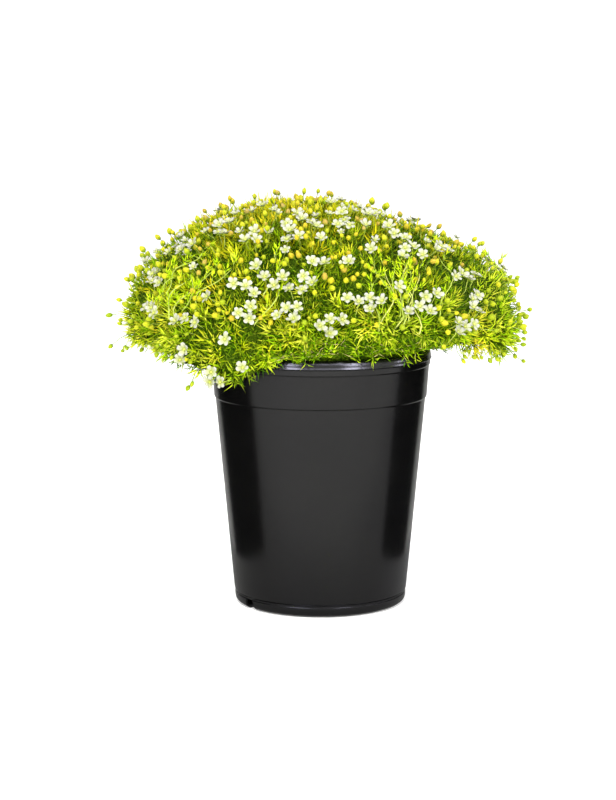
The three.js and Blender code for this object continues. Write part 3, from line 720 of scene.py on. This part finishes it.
def add_bloom(gathered, hub, axis, turn, size, closing, rows=7):
    """One flower: petals and sepals by turns, the ovary and the stamens round it."""
    side = unit(np.cross(axis, UP))
    basis = np.stack([side, np.cross(axis, side), axis]) * size

    def place(points, angle):
        spin = np.array((
            (math.cos(angle), math.sin(angle), 0), (-math.sin(angle), math.cos(angle), 0), (0, 0, 1)))
        return points @ spin @ basis + hub

    for i in range(5):
        angle = turn + TURN * i / 5
        points, faces, share = leaf_shape(PETAL, rows, 5, closing + rng.uniform(-0.8, 0.9))
        points = points * rng.uniform(0.82, 1.08)
        points[:, 2] += points[:, 1] * rng.uniform(-0.35, 0.35)
        gathered.add(place(points, angle + rng.uniform(-0.13, 0.13)), faces, along=share, kind=KIND["petal"])
        points, faces, share = leaf_shape(SEPAL, 4, 3, 0)
        points[:, 2] -= SEPAL_DROP
        gathered.add(place(points, angle + TURN / 10), faces, along=share, kind=KIND["sepal"])
    points, faces = turned(OVARY, 7)
    gathered.add(place(np.array(points), turn), faces, along=0.3, kind=KIND["heart"])
    angles = turn + TURN * (np.arange(STAMENS) + 0.5) / STAMENS
    reach = rng.uniform(1.2, 1.8, STAMENS)
    tips = np.stack([reach * np.cos(angles), reach * np.sin(angles), rng.uniform(1.2, 1.9, STAMENS)], -1)
    paths = np.stack([tips * (0.3, 0.3, 0.1), tips * (0.5, 0.5, 0.5), tips * (0.9, 0.9, 0.94), tips,
                      tips + (0, 0, 0.28)], axis=1)
    points, faces, share = spindles(paths, (0.05, 0.05, 0.17))
    gathered.add(place(points, 0), faces, along=share, kind=KIND["heart"])
    bloom_middles.append(hub)
    bloom_axes.append(axis)


def turned_to_light(hub, axis):
    """A bloom's axis after it has turned outward and half up to the light."""
    outward = unit(np.array((0.6 * hub[0], hub[1] - NOD["back"], 0)))
    return unit(axis + NOD["share"] * unit(outward + NOD["up"] * UP) + rng.normal(0, NOD["any"], 3))


spray_nodes = sorted(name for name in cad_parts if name.startswith("bloom_spray"))
for node in spray_nodes:
    spray = Gathering()
    for hub, axis, turn in blooms_of(node):
        axis = turned_to_light(hub, axis)
        hub = hub + axis * rng.uniform(-2.4, 0.4)
        add_bloom(spray, hub, axis, turn, 1.0, rng.uniform(-0.3, 1.9))
    piece = spray.piece(node.replace("bloom_spray", "blooms"), bloom)
    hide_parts(node)
    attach(piece, "root")

# Half-open blooms crowd the shoulders of the dome: middle and spread in plan, and how many
YOUNG_BLOOMS = ((-66, -34, 22, 17), (34, -34, 22, 15), (78, -44, 14, 8), (-104, -26, 13, 9),
                (-20, -52, 24, 7), (60, 46, 40, 6), (-60, 60, 40, 6), (20, 10, 40, 3))
YOUNG_ROOM = 6.5
young = Gathering()
for middle_x, middle_y, spread_by, count in YOUNG_BLOOMS:
    for i in range(count):
        x, y = middle_x + rng.normal(0, spread_by * 0.6), middle_y + rng.normal(0, spread_by * 0.6)
        turn = math.atan2(y, x)
        way = math.asin(min(math.hypot(x, y) / plan_radius(turn), 0.97)) / (math.pi / 2)
        hub = dome_point(turn, way) + dome_normal(turn, way) * rng.uniform(-3.5, 1.0)
        axis = turned_to_light(hub, dome_normal(turn, way))
        gaps = np.linalg.norm(np.array(bloom_middles) - hub, axis=1)
        if gaps.min() > YOUNG_ROOM:
            turn, size, closing = rng.uniform(0, TURN), rng.uniform(0.6, 0.9), rng.uniform(0.8, 3.2)
            add_bloom(young, hub, axis, turn, size, closing, rows=5)
piece = young.piece("young_blooms", bloom)
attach(piece, "root")
bloom_middles = np.array(bloom_middles)
bloom_axes = np.array(bloom_axes)

# Leaves
# Needle leaves a millimetre wide stand in whorls up thin shoots, closest at the tips, where they
# open like stars. A few shoots rise from each crown, and they grow towards the light.
TUFTS = 880
SHOOTS_A_TUFT = 3
TUFT_DEPTH = 17
RELIEF_SCALE = 0.045
PATCH_SCALE = 0.021
TUFT_LIFT = {"above": -5.0, "relief": 7.0, "uneven": 3.2, "dip": 7.0, "dips": 0.14, "highest": -1.5}
HOLLOW = 4.0
SAG = {"aside": 70, "width": 30, "depth": 4.5}
# Whorls up a shoot: how far up, tilt from the shoot in degrees, number of leaves, length
WHORLS = (
    (0.3, 80, 3, 0.7), (0.52, 68, 3, 0.85), (0.72, 60, 4, 0.95), (0.88, 48, 4, 1.0), (1.0, 30, 4, 0.8))
NEEDLE = {"length": 10.8, "radius": 0.63, "unruly": 15}
# Golden leaves: more above a height, to the left and in patches, and an odd tuft anywhere
GOLD = {"height": 225, "over": 55, "crown": 0.75, "least": 0.06, "patches": 0.4, "left": 0.22,
        "left_over": 80, "uneven": 0.12, "odd": 0.8, "odd_share": 0.06}
TONE = {"uneven": 0.16, "relief": 0.1, "crown": -0.2, "skirt": 0.1, "left": 0.09}
TO_LIGHT = 0.5
BLOOM_CLEAR = {"aside": 4.6, "below": 1.2, "above": 7.5}
RIM_CLEAR = {"radius": 78.8, "height": 181.6, "bare": 87, "line": 183.2, "stray": 0.04}
SHADE = {"from": 3.5, "over": 11.0, "deepest": 0.85, "sunk": 0.5, "most": 0.88, "sides": 0.3}


def draw(number, which):
    """A repeatable draw between 0 and 1; which tells one set of draws from another."""
    return np.modf(np.abs(np.sin(number * 127.1 + which * 311.7) * 43758.5453))[0]


def clear_of(points):
    """Which points lie clear of the blooms and of the pot's lip and wall."""
    apart = points[:, None] - bloom_middles[None]
    along_axis = np.einsum("ijk,jk->ij", apart, bloom_axes)
    aside = np.sqrt(np.maximum((apart ** 2).sum(-1) - along_axis ** 2, 0))
    in_bloom = (aside < BLOOM_CLEAR["aside"]) & (along_axis > -BLOOM_CLEAR["below"])
    in_bloom &= along_axis < BLOOM_CLEAR["above"]
    radius = np.hypot(points[:, 0], points[:, 1])
    in_pot = (radius < RIM_CLEAR["radius"]) & (points[:, 2] < RIM_CLEAR["height"])
    off = np.arctan2(points[:, 1], points[:, 0]) - math.radians(DROOP["azimuth"])
    drooping = np.abs(np.arctan2(np.sin(off), np.cos(off))) < math.radians(DROOP["width"] + 7)
    over_lip = (radius < RIM_CLEAR["bare"]) & (points[:, 2] < RIM_CLEAR["line"]) & ~drooping
    over_lip &= draw(np.round(points[:, 0] / 9 + points[:, 1] / 7), 5) > RIM_CLEAR["stray"]
    return ~in_bloom.any(axis=1) & ~in_pot & ~over_lip


def clear_paths(paths):
    """Which paths have all but their first point clear."""
    good = np.ones(len(paths), bool)
    for part in np.array_split(np.arange(len(paths)), max(1, len(paths) // 3000)):
        for step in range(1, paths.shape[1]):
            good[part] &= clear_of(paths[part, step])
    return good


def sideways(directions):
    """Two directions across each given one, at a right angle to each other."""
    helper = np.where(np.abs(directions[:, 2:3]) > 0.9, (1.0, 0.0, 0.0), (0.0, 0.0, 1.0))
    across = unit(np.cross(directions, helper))
    return across, np.cross(directions, across)


def needles_on(base, shoot, length, size, whorls=WHORLS):
    """Paths, radii and shoot number of the needle leaves in whorls along straight shoots."""
    across, over = sideways(shoot)
    paths = []
    radii = []
    owners = []
    for share, tilt, count, longness in whorls:
        first = rng.uniform(0, TURN, len(base))
        for i in range(count):
            lean = np.radians(tilt + rng.normal(0, NEEDLE["unruly"], len(base)))[:, None]
            angle = (first + TURN * i / count + rng.normal(0, 0.3, len(base)))[:, None]
            aside = across * np.cos(angle) + over * np.sin(angle)
            way = unit(shoot * np.cos(lean) + aside * np.sin(lean))
            root = base + shoot * (length * (share + rng.normal(0, 0.03, len(base))))[:, None]
            reach = (size * longness * NEEDLE["length"] * rng.uniform(0.7, 1.2, len(base)))[:, None]
            bend = 0.15 * shoot + 0.12 * UP + rng.normal(0, 0.15, (len(base), 3))
            steps = [root, root + reach * (0.45 * way - 0.1 * bend), root + reach * (way + bend)]
            paths.append(np.stack(steps, axis=1))
            radii.append((size * 0.5 + 0.5) * NEEDLE["radius"] * rng.uniform(0.8, 1.2, len(base)))
            owners.append(np.arange(len(base)))
    return np.concatenate(paths), np.concatenate(radii), np.concatenate(owners)


leaf = Finish("needle_leaf", Specular_IOR_Level=0.02)
along = leaf.kept("along")
tone = leaf.kept("tone")
gold = leaf.kept("gold")
deep = leaf.kept("deep")
fresh = leaf.ramp(
    tone, (0.0, paint("#66a204")), (0.3, paint("#92c60a")), (0.65, paint("#c2e01c")),
    (1.0, paint("#eef250")))
warm = leaf.ramp(tone, (0.0, paint("#a8a60a")), (0.45, paint("#d8cc10")), (1.0, paint("#fae430")))
# Painted shade: needles rooted deep in the mat are mixed towards darker greens.
shaded = leaf.ramp(tone, (0.1, paint("#264c02")), (0.9, paint("#688808")))
colour = leaf.mix(deep, leaf.mix(gold, fresh, warm), shaded)
# Painted shade: each needle is darker towards its base, down in the mat.
base_shade = leaf.ramp(along, (0.0, paint("#9fae62")), (0.35, paint("#ffffff")), (1.0, paint("#fffaf0")))
leaf.use("Base Color", leaf.mix(1.0, colour, base_shade, "MULTIPLY"))
leaf.use("Roughness", 0.42 + 0.2 * leaf.noise(900, 2))

stem = Finish("stem", Roughness=0.6, Specular_IOR_Level=0.03)
stem_tone = stem.kept("tone")
stem.use("Base Color", stem.ramp(
    stem_tone + 0.3 * stem.noise(300, 3), (0.0, paint("#4f6a14")), (0.35, paint("#8aa02c")),
    (0.75, paint("#b4c25c")), (1.0, paint("#c9bf78"))))


def shoots_from(surface, normal, lift, low):
    """Shoots from crowns under the surface: their bases, directions, lengths and crown numbers."""
    crown = surface + normal * (lift - TUFT_DEPTH)[:, None]
    number = np.repeat(np.arange(len(crown)), SHOOTS_A_TUFT)
    out = normal[number]
    across, over = sideways(out)
    fan = rng.uniform(0, TURN, len(number))[:, None]
    open_by = np.sqrt(rng.uniform(0, 1, len(number)))[:, None]
    direction = out + (across * np.cos(fan) + over * np.sin(fan)) * open_by
    direction = unit(direction + TO_LIGHT * (1 - 1.7 * low[number])[:, None] * UP)
    length = TUFT_DEPTH * rng.uniform(0.55, 1.02, len(number)) - 3.5
    return crown[number] + rng.normal(0, 0.9, (len(number), 3)), direction, length, number


def sag(points):
    """How much lower the plant is on its right shoulder."""
    return SAG["depth"] * np.exp(-((points[:, 0] - SAG["aside"]) / SAG["width"]) ** 2)


azimuth, way = spread(TUFTS, 0.4)
azimuth = azimuth + rng.normal(0, 0.034, TUFTS) / np.maximum(np.sin(np.minimum(way, 1) * 1.57), 0.25)
way = way + rng.normal(0, 0.024, TUFTS)
surface = dome_point(azimuth, way)
normal = dome_normal(azimuth, way)
relief = np.array([noise.noise(Vector(p) * RELIEF_SCALE) for p in surface])
patches = np.array([noise.noise(Vector(p) * PATCH_SCALE + Vector((9, 3, 5))) for p in surface])
# Tufts stand higher and lower in soft lumps. Some are sunk, and the shoulders are a little hollow
hollow = HOLLOW * (1 + np.cos(azimuth) ** 4) * np.sin(np.clip((way - 0.35) / 0.6, 0, 1) * math.pi)
lift = TUFT_LIFT["above"] + TUFT_LIFT["relief"] * relief + rng.normal(0, TUFT_LIFT["uneven"], TUFTS)
lift = lift - TUFT_LIFT["dip"] * (rng.uniform(0, 1, TUFTS) < TUFT_LIFT["dips"])
sunk = np.clip(-lift / 16 - 0.3, 0, 1)
lift = np.minimum(lift - hollow - sag(surface), TUFT_LIFT["highest"])
low = np.clip(way - 0.85, 0, 1)
# Colour of each tuft: how golden it is, and how light
crowning = np.clip((surface[:, 2] - GOLD["height"]) / GOLD["over"], 0, 1)
tuft_gold = crowning * GOLD["crown"] + GOLD["least"] + GOLD["patches"] * patches
tuft_gold = tuft_gold + GOLD["left"] * np.clip(-surface[:, 0] / GOLD["left_over"], 0, 1)
tuft_gold = tuft_gold + rng.normal(0, GOLD["uneven"], TUFTS)
tuft_gold = tuft_gold + (rng.uniform(0, 1, TUFTS) < GOLD["odd_share"]) * GOLD["odd"]
height_share = np.clip((surface[:, 2] - 220) / 50, 0, 1)
tuft_tone = rng.normal(0, TONE["uneven"], TUFTS) + TONE["relief"] * relief
tuft_tone = tuft_tone + TONE["crown"] * height_share + TONE["skirt"] * (1 - height_share)
tuft_tone = tuft_tone + TONE["left"] * np.clip((10 - surface[:, 0]) / 70, 0, 1)

base, shoot, length, tuft = shoots_from(surface, normal, lift, low)
shoot_size = rng.uniform(0.78, 1.12, len(base))
shoot_gold = np.clip(tuft_gold[tuft] + rng.normal(0, 0.2, len(base)), 0, 1)
shoot_owner = owner(base)
paths, radii, on = needles_on(base, shoot, length, shoot_size)
good = clear_paths(paths)
paths, radii, on = paths[good], radii[good], on[good]
shoot_tone = tuft_tone[tuft] + rng.normal(0, 0.13, len(base))
needle_tone = np.clip(rng.normal(0.5, 0.17, len(paths)) + shoot_tone[on], 0, 1)
# Needles rooted deep between the tufts get painted shade, less of it at the two sides
rooted = np.einsum("ij,ij->i", surface[tuft[on]] - paths[:, 0], normal[tuft[on]]) + lift[tuft[on]]
needle_painted_shade = SHADE["deepest"] * np.clip((rooted - SHADE["from"]) / SHADE["over"], 0, 1) ** 0.8
needle_painted_shade = needle_painted_shade + SHADE["sunk"] * sunk[tuft[on]]
outer = np.clip((np.abs(surface[tuft[on], 0]) - 75) / 40, 0, 1)
needle_painted_shade = np.clip(needle_painted_shade, 0, 1) * (SHADE["most"] - SHADE["sides"] * outer)

# Small needles between the tufts, over the thatch, darkened with painted shade
UNDER = {"count": 8000, "inset": 12.0, "length": 8.0, "radius": 0.5, "deep": 0.92}
under_azimuth, under_way = spread(UNDER["count"], 2.2)
under_surface = dome_point(under_azimuth, under_way)
under_normal = dome_normal(under_azimuth, under_way)
under_root = under_surface - under_normal * (UNDER["inset"] + rng.uniform(-2, 2, UNDER["count"]))[:, None]
under_ahead = unit(under_normal + rng.normal(0, 0.75, (UNDER["count"], 3)))
under_reach = (UNDER["length"] * rng.uniform(0.6, 1.3, UNDER["count"]))[:, None]
under_bend = rng.normal(0, 0.15, (UNDER["count"], 3))
under_middle = under_root + under_reach * 0.45 * under_ahead
under_paths = np.stack([under_root, under_middle, under_root + under_reach * (under_ahead + under_bend)], 1)
under_paths = under_paths[clear_paths(under_paths)]

for own in range(CLUMPS):
    mine = shoot_owner[on] == own
    below = owner(under_paths[:, 0]) == own
    gathered = Gathering()
    gathered.add_spindles(paths[mine], radii[mine][:, None], tone=needle_tone[mine],
                          gold=shoot_gold[on][mine], deep=needle_painted_shade[mine])
    gathered.add_spindles(under_paths[below], (UNDER["radius"],), tone=rng.uniform(0, 1, below.sum()),
                          gold=0.0, deep=UNDER["deep"])
    piece = gathered.piece(f"needles_{own + 1:02d}", leaf)
    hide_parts(f"moss_clump_{own + 1:02d}")
    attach(piece, "root")

# Rim fringe
# Shaded shoots matted together between the dome's underside and the lip. Their fine needles and
# pale stems lie along the rim, and a few hang over it.
FRINGE = {"shoots": 760, "from": 71, "to": 86, "low": 184.0, "above": 5, "highest": 194,
          "length": 9.0, "size": 0.9, "thinner": 0.75, "stem": 0.32}
FRINGE_WHORLS = ((0.2, 60, 2, 0.55), (0.45, 52, 3, 0.62), (0.7, 44, 3, 0.66), (0.97, 26, 3, 0.6))
count = FRINGE["shoots"]
turn = rng.uniform(0, TURN, count)
radius = rng.uniform(FRINGE["from"], FRINGE["to"], count)
top = np.minimum(WIDEST_HEIGHT - skirt_fall(turn) + FRINGE["above"], FRINGE["highest"])
height = FRINGE["low"] + rng.uniform(0, 1, count) * np.maximum(top - FRINGE["low"], 0)
fringe_base = np.concatenate([polar(radius, turn), height[:, None]], axis=1)
outward = np.concatenate([polar(np.ones(count), turn), np.zeros((count, 1))], axis=1)
sidelong = np.cross(UP, outward) * np.sign(rng.uniform(-1, 1, count))[:, None]
fringe_way = unit(outward * rng.uniform(0, 0.9, (count, 1)) + sidelong * rng.uniform(0.1, 1, (count, 1))
                  + UP * rng.normal(0.1, 0.28, (count, 1)))
fringe_long = FRINGE["length"] * rng.uniform(0.6, 1.2, count)
fringe_paths, fringe_radii, fringe_on = needles_on(
    fringe_base, fringe_way, fringe_long, np.full(count, FRINGE["size"]), FRINGE_WHORLS)
good = clear_paths(fringe_paths) & clear_of(fringe_paths[:, 0])
fringe_paths, fringe_on = fringe_paths[good], fringe_on[good]
fringe_radii = fringe_radii[good] * FRINGE["thinner"]
fringe_tone = np.clip(rng.normal(0.4, 0.25, len(fringe_paths)), 0, 1)
# Painted shade darkens the fringe's needles, each shoot by a random amount.
fringe_painted_shade = np.clip(rng.normal(0.6, 0.3, count), 0, 1)[fringe_on]
gathered = Gathering()
gathered.add_spindles(fringe_paths, fringe_radii[:, None], tone=fringe_tone, gold=0.0, deep=fringe_painted_shade)
piece = gathered.piece("rim_fringe", leaf)
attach(piece, "root")
fringe_ends = fringe_base + fringe_way * fringe_long[:, None]
fringe_middles = (fringe_base + fringe_ends) / 2
fringe_stems = np.stack([fringe_base - 2 * fringe_way, fringe_middles, fringe_ends], axis=1)
fringe_stems = fringe_stems[clear_paths(fringe_stems) & clear_of(fringe_stems[:, 0])]

# Straggling stems
# Bare pale stems that have grown out of the mat and lie over the leaves, with short twigs and small
# needles. They lie in front, right of the middle, at the left, and on the far side.
STRAND = {"steps": 12, "radius": 0.5, "over": -3.2, "wave": 1.8, "rooted": 4}
TWIG = {"radius": 0.3, "size": 0.8}
TWIG_WHORLS = ((0.45, 42, 2, 0.5), (0.75, 38, 2, 0.55), (1.0, 22, 3, 0.6))
# Each group's azimuth and spread in degrees, lowest and highest place on the dome, and how many
STRAGGLERS = ((-62, 8, 1.05, 0.64, 11), (-112, 12, 1.04, 0.7, 2), (212, 12, 1.0, 0.7, 7),
              (20, 30, 1.0, 0.6, 8), (95, 40, 1.0, 0.6, 10))
strands = []
twig_bases = []
twig_ways = []
for degrees, spread_by, low_way, high_way, count in STRAGGLERS:
    for i in range(count):
        start = math.radians(degrees + rng.normal(0, spread_by * 0.6))
        end = start + math.radians(rng.normal(6, spread_by * 0.7))
        share = np.linspace(0, rng.uniform(0.65, 1.0), STRAND["steps"])
        turns = start + (end - start) * share + 0.035 * np.sin(share * 8 + rng.uniform(0, TURN))
        ways = low_way - abs(rng.normal(0, 0.1)) + (high_way - low_way) * share
        lifts = STRAND["over"] + STRAND["wave"] * np.sin(share * 12 + rng.uniform(0, TURN))
        lifts = lifts - STRAND["rooted"] * (share < 0.05)
        strand = dome_point(turns, ways) + dome_normal(turns, ways) * lifts[:, None]
        strands.append(strand)
        ahead = unit(np.gradient(strand, axis=0))
        for step in range(3, STRAND["steps"], 2):
            twig_bases.append(strand[step])
            twig_ways.append(unit(ahead[step] + rng.normal(0, 0.55, 3) + 0.4 * UP))
strands = np.array(strands)
twig_bases, twig_ways = np.array(twig_bases), np.array(twig_ways)
twig_long = rng.uniform(4.5, 8, len(twig_bases))
twig_paths, twig_radii = needles_on(
    twig_bases, twig_ways, twig_long, np.full(len(twig_bases), TWIG["size"]), TWIG_WHORLS)[:2]
good = clear_paths(twig_paths)
gathered = Gathering()
# The twig needles get a little painted shade.
gathered.add_spindles(twig_paths[good], twig_radii[good][:, None] * TWIG["size"], gold=0.1, deep=0.1,
                      tone=rng.uniform(0.3, 0.8, good.sum()))
piece = gathered.piece("straggling_needles", leaf)
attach(piece, "root")
gathered = Gathering()
thin = np.linspace(1.0, 0.55, STRAND["steps"] - 2) * STRAND["radius"]
gathered.add_spindles(strands, thin, sides=4, tone=rng.uniform(0.3, 0.7, len(strands)))
twig_reach = twig_ways * twig_long[:, None]
twigs = np.stack([twig_bases, twig_bases + twig_reach / 2, twig_bases + twig_reach], axis=1)
gathered.add_spindles(twigs[clear_paths(twigs)], (TWIG["radius"],), tone=0.4)
piece = gathered.piece("straggling_stems", stem)
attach(piece, "root")

# Buds
# Round buds and seed capsules, pale green to gold, stand over the leaves on hair-thin stalks, each
# in a small green cup. Some are opening and show the white of their petals.
BUD_OUTLINE = ((0, -0.3), (0.7, 0), (1.4, 0.8), (1.75, 1.8), (1.6, 2.8), (0.95, 3.8), (0, 4.6))
BUD_LENGTH = 4.5
BUD_SIDES = 10
STALK = 0.28
BUD_ROOM = {"bloom": 5.8, "bud": 3.6}
BUD_RISE = {"uneven": 3.5, "sunk": 1.5, "tall": 6.0, "hollow": 4.5, "crown": 0.8, "lean": 6, "hang": 11.0}
BUD_ROOT = 13
BUD_SIZE = {"least": 0.8, "most": 1.35, "skirt": 0.35, "crown": 0.15}
BUD_CHANCE = {"even": 0.7, "patches": 1.1, "crown": 0.3, "front": 1.2, "skirt": 0.3}
SHOOT_STEM = 0.36
# Each set's number of places, first turn, and how far they stray from even steps
BUD_SETS = ((46, 2.9, 0.0), (980, 1.3, 0.09), (520, 4.1, 0.12))


bud = Finish("bud", Roughness=0.5, Specular_IOR_Level=0.05)
tone = bud.kept("tone")
along = bud.kept("along")
opening = bud.kept("opening")
bud_colour = bud.ramp(
    tone, (0.0, paint("#86981a")), (0.25, paint("#acae20")), (0.5, paint("#c4b824")),
    (0.8, paint("#bf9f28")), (0.94, paint("#b08c40")), (1.0, paint("#a58456")))
green_cup = bud.ramp(along + 0.2 * bud.noise(900, 2), (0.2, WHITE), (0.6, BLACK))
sepal_green = bud.mix(bud.kept("rib"), bud_colour, bud.mix(0.6, bud_colour, paint("#7c9018")))
closed = bud.mix(green_cup, sepal_green, paint("#6f8a16"))
white_tip = bud.ramp(opening * along, (0.42, BLACK), (0.55, WHITE))
bud.use("Base Color", bud.mix(white_tip, closed, paint("#babd9c")))

bud_points, bud_faces = turned(BUD_OUTLINE, BUD_SIDES)
bud_points = np.array(bud_points)
bud_ribs = np.concatenate([[0.5], np.tile(np.arange(BUD_SIDES) % 2, len(BUD_OUTLINE) - 2), [0.5]])
bud_points[:, :2] *= (1 - 0.1 * bud_ribs)[:, None]
gathers = [Gathering() for own in range(CLUMPS)]
stalks = [Gathering() for own in range(CLUMPS)]
placed = bloom_middles
for count, first_turn, jitter in BUD_SETS:
    azimuth, way = spread(count, first_turn)
    azimuth = azimuth + rng.normal(0, 1, count) * jitter
    way = np.clip(way + rng.normal(0, 1, count) * jitter * 0.6, 0.02, 1.42)
    bud_spot = dome_point(azimuth, way)
    bud_normal = dome_normal(azimuth, way)
    number = np.arange(count)
    lean = np.stack([draw(number, 31) - 0.5, draw(number, 32) - 0.5, np.full(count, 0.2)], -1)
    bud_aside = np.abs(bud_spot[:, 0]) > 100
    tall = draw(number, 34) < 0.1 + 0.12 * bud_aside
    rise = BUD_RISE["uneven"] * draw(number, 33) - BUD_RISE["sunk"] + BUD_RISE["tall"] * tall
    shoulder = np.sin(np.clip((way - 0.3) / 0.7, 0, 1) * math.pi)
    rise = rise - sag(bud_spot) * (way < 0.8) - BUD_RISE["hollow"] * np.cos(azimuth) ** 4 * shoulder
    on_crown, on_skirt = way < 0.7, way > 1.05
    hang = on_skirt[:, None] * (0, 0, -BUD_RISE["hang"]) * rng.uniform(0.1, 1, (count, 1))
    tips = bud_spot + bud_normal * rise[:, None] + lean * BUD_RISE["lean"] + hang
    tips = tips - UP * on_crown[:, None] * BUD_RISE["crown"]
    roots = bud_spot - bud_normal * BUD_ROOT
    bulge = roots * 0.4 + tips * 0.6 + rng.normal(0, 1.6, (count, 3))
    near_tip = tips - unit(tips - bulge) * (BUD_LENGTH - 0.5)
    # Buds crowd in patches and on the crown, with fewer over the front of the pot and on the skirt
    crowd = np.array([noise.noise(Vector(p) * 0.04 + Vector((3, 1, 8))) for p in bud_spot])
    in_front = (np.abs(bud_spot[:, 0]) < 80) & (bud_spot[:, 1] < 0) & (way > 0.97)
    chance = BUD_CHANCE["even"] + BUD_CHANCE["patches"] * crowd
    chance = chance + BUD_CHANCE["crown"] * (bud_spot[:, 2] > 235)
    chance = chance - BUD_CHANCE["front"] * in_front - BUD_CHANCE["skirt"] * on_skirt
    wanted = draw(number, 35) < chance
    for i in np.flatnonzero(wanted & clear_of(tips) & clear_of(near_tip)):
        gaps = np.linalg.norm(placed - tips[i], axis=1)
        if gaps[:len(bloom_middles)].min() < BUD_ROOM["bloom"] or gaps.min() < BUD_ROOM["bud"]:
            continue
        placed = np.concatenate([placed, tips[i][None]])
        own = owner(roots[i][None])[0]
        axis = unit(tips[i] - near_tip[i])
        side, over = sideways(axis[None])
        basis = np.stack([side[0], np.cross(axis, side[0]), axis])
        most = BUD_SIZE["most"] - BUD_SIZE["skirt"] * (way[i] > 1.02) - BUD_SIZE["crown"] * on_crown[i]
        size = rng.uniform(BUD_SIZE["least"], most) * rng.uniform(0.88, 1.1, 3)
        ripe = draw(i, 41) * (0.85 - 0.35 * bud_aside[i] - 0.3 * on_skirt[i]) + 0.15 * (tips[i][2] > 240)
        gathers[own].add(
            bud_points * size @ basis + near_tip[i], bud_faces, tone=ripe, rib=bud_ribs,
            along=np.clip(bud_points[:, 2] / BUD_LENGTH, 0, 1), opening=float(draw(i, 42) < 0.02))
        path = np.stack([roots[i], (roots[i] + bulge[i]) / 2, bulge[i], near_tip[i], tips[i]])[None]
        stalks[own].add_spindles(path, (STALK * 1.3, STALK, STALK), tone=rng.uniform(-0.15, 0.5))

# Each clump's buds, and its stems: bud stalks, bloom stalks, shoots and fringe
for own in range(CLUMPS):
    mine = np.flatnonzero(owner(bloom_middles) == own)
    tips = bloom_middles[mine] - 0.6 * bloom_axes[mine]
    roots = bloom_middles[mine] - 16 * bloom_axes[mine] + rng.normal(0, 2, (len(mine), 3))
    middle = (tips + roots) / 2 + rng.normal(0, 0.8, (len(mine), 3))
    ways = np.stack([roots, middle, tips - 2 * bloom_axes[mine], tips], axis=1)
    stalks[own].add_spindles(ways, (PEDICEL, PEDICEL), tone=0.5)
    mine = shoot_owner == own
    ends = base[mine] + shoot[mine] * length[mine][:, None]
    ways = np.stack([base[mine] - 2 * shoot[mine], (base[mine] + ends) / 2, ends], axis=1)
    stalks[own].add_spindles(ways, (SHOOT_STEM,), tone=0.1)
    mine = owner(fringe_stems[:, 1]) == own
    stalks[own].add_spindles(fringe_stems[mine], (FRINGE["stem"],), tone=0.9)
    for gathered, name, finish in ((gathers[own], "buds", bud), (stalks[own], "stems", stem)):
        if gathered.count:
            piece = gathered.piece(f"{name}_{own + 1:02d}", finish)
            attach(piece, "root")
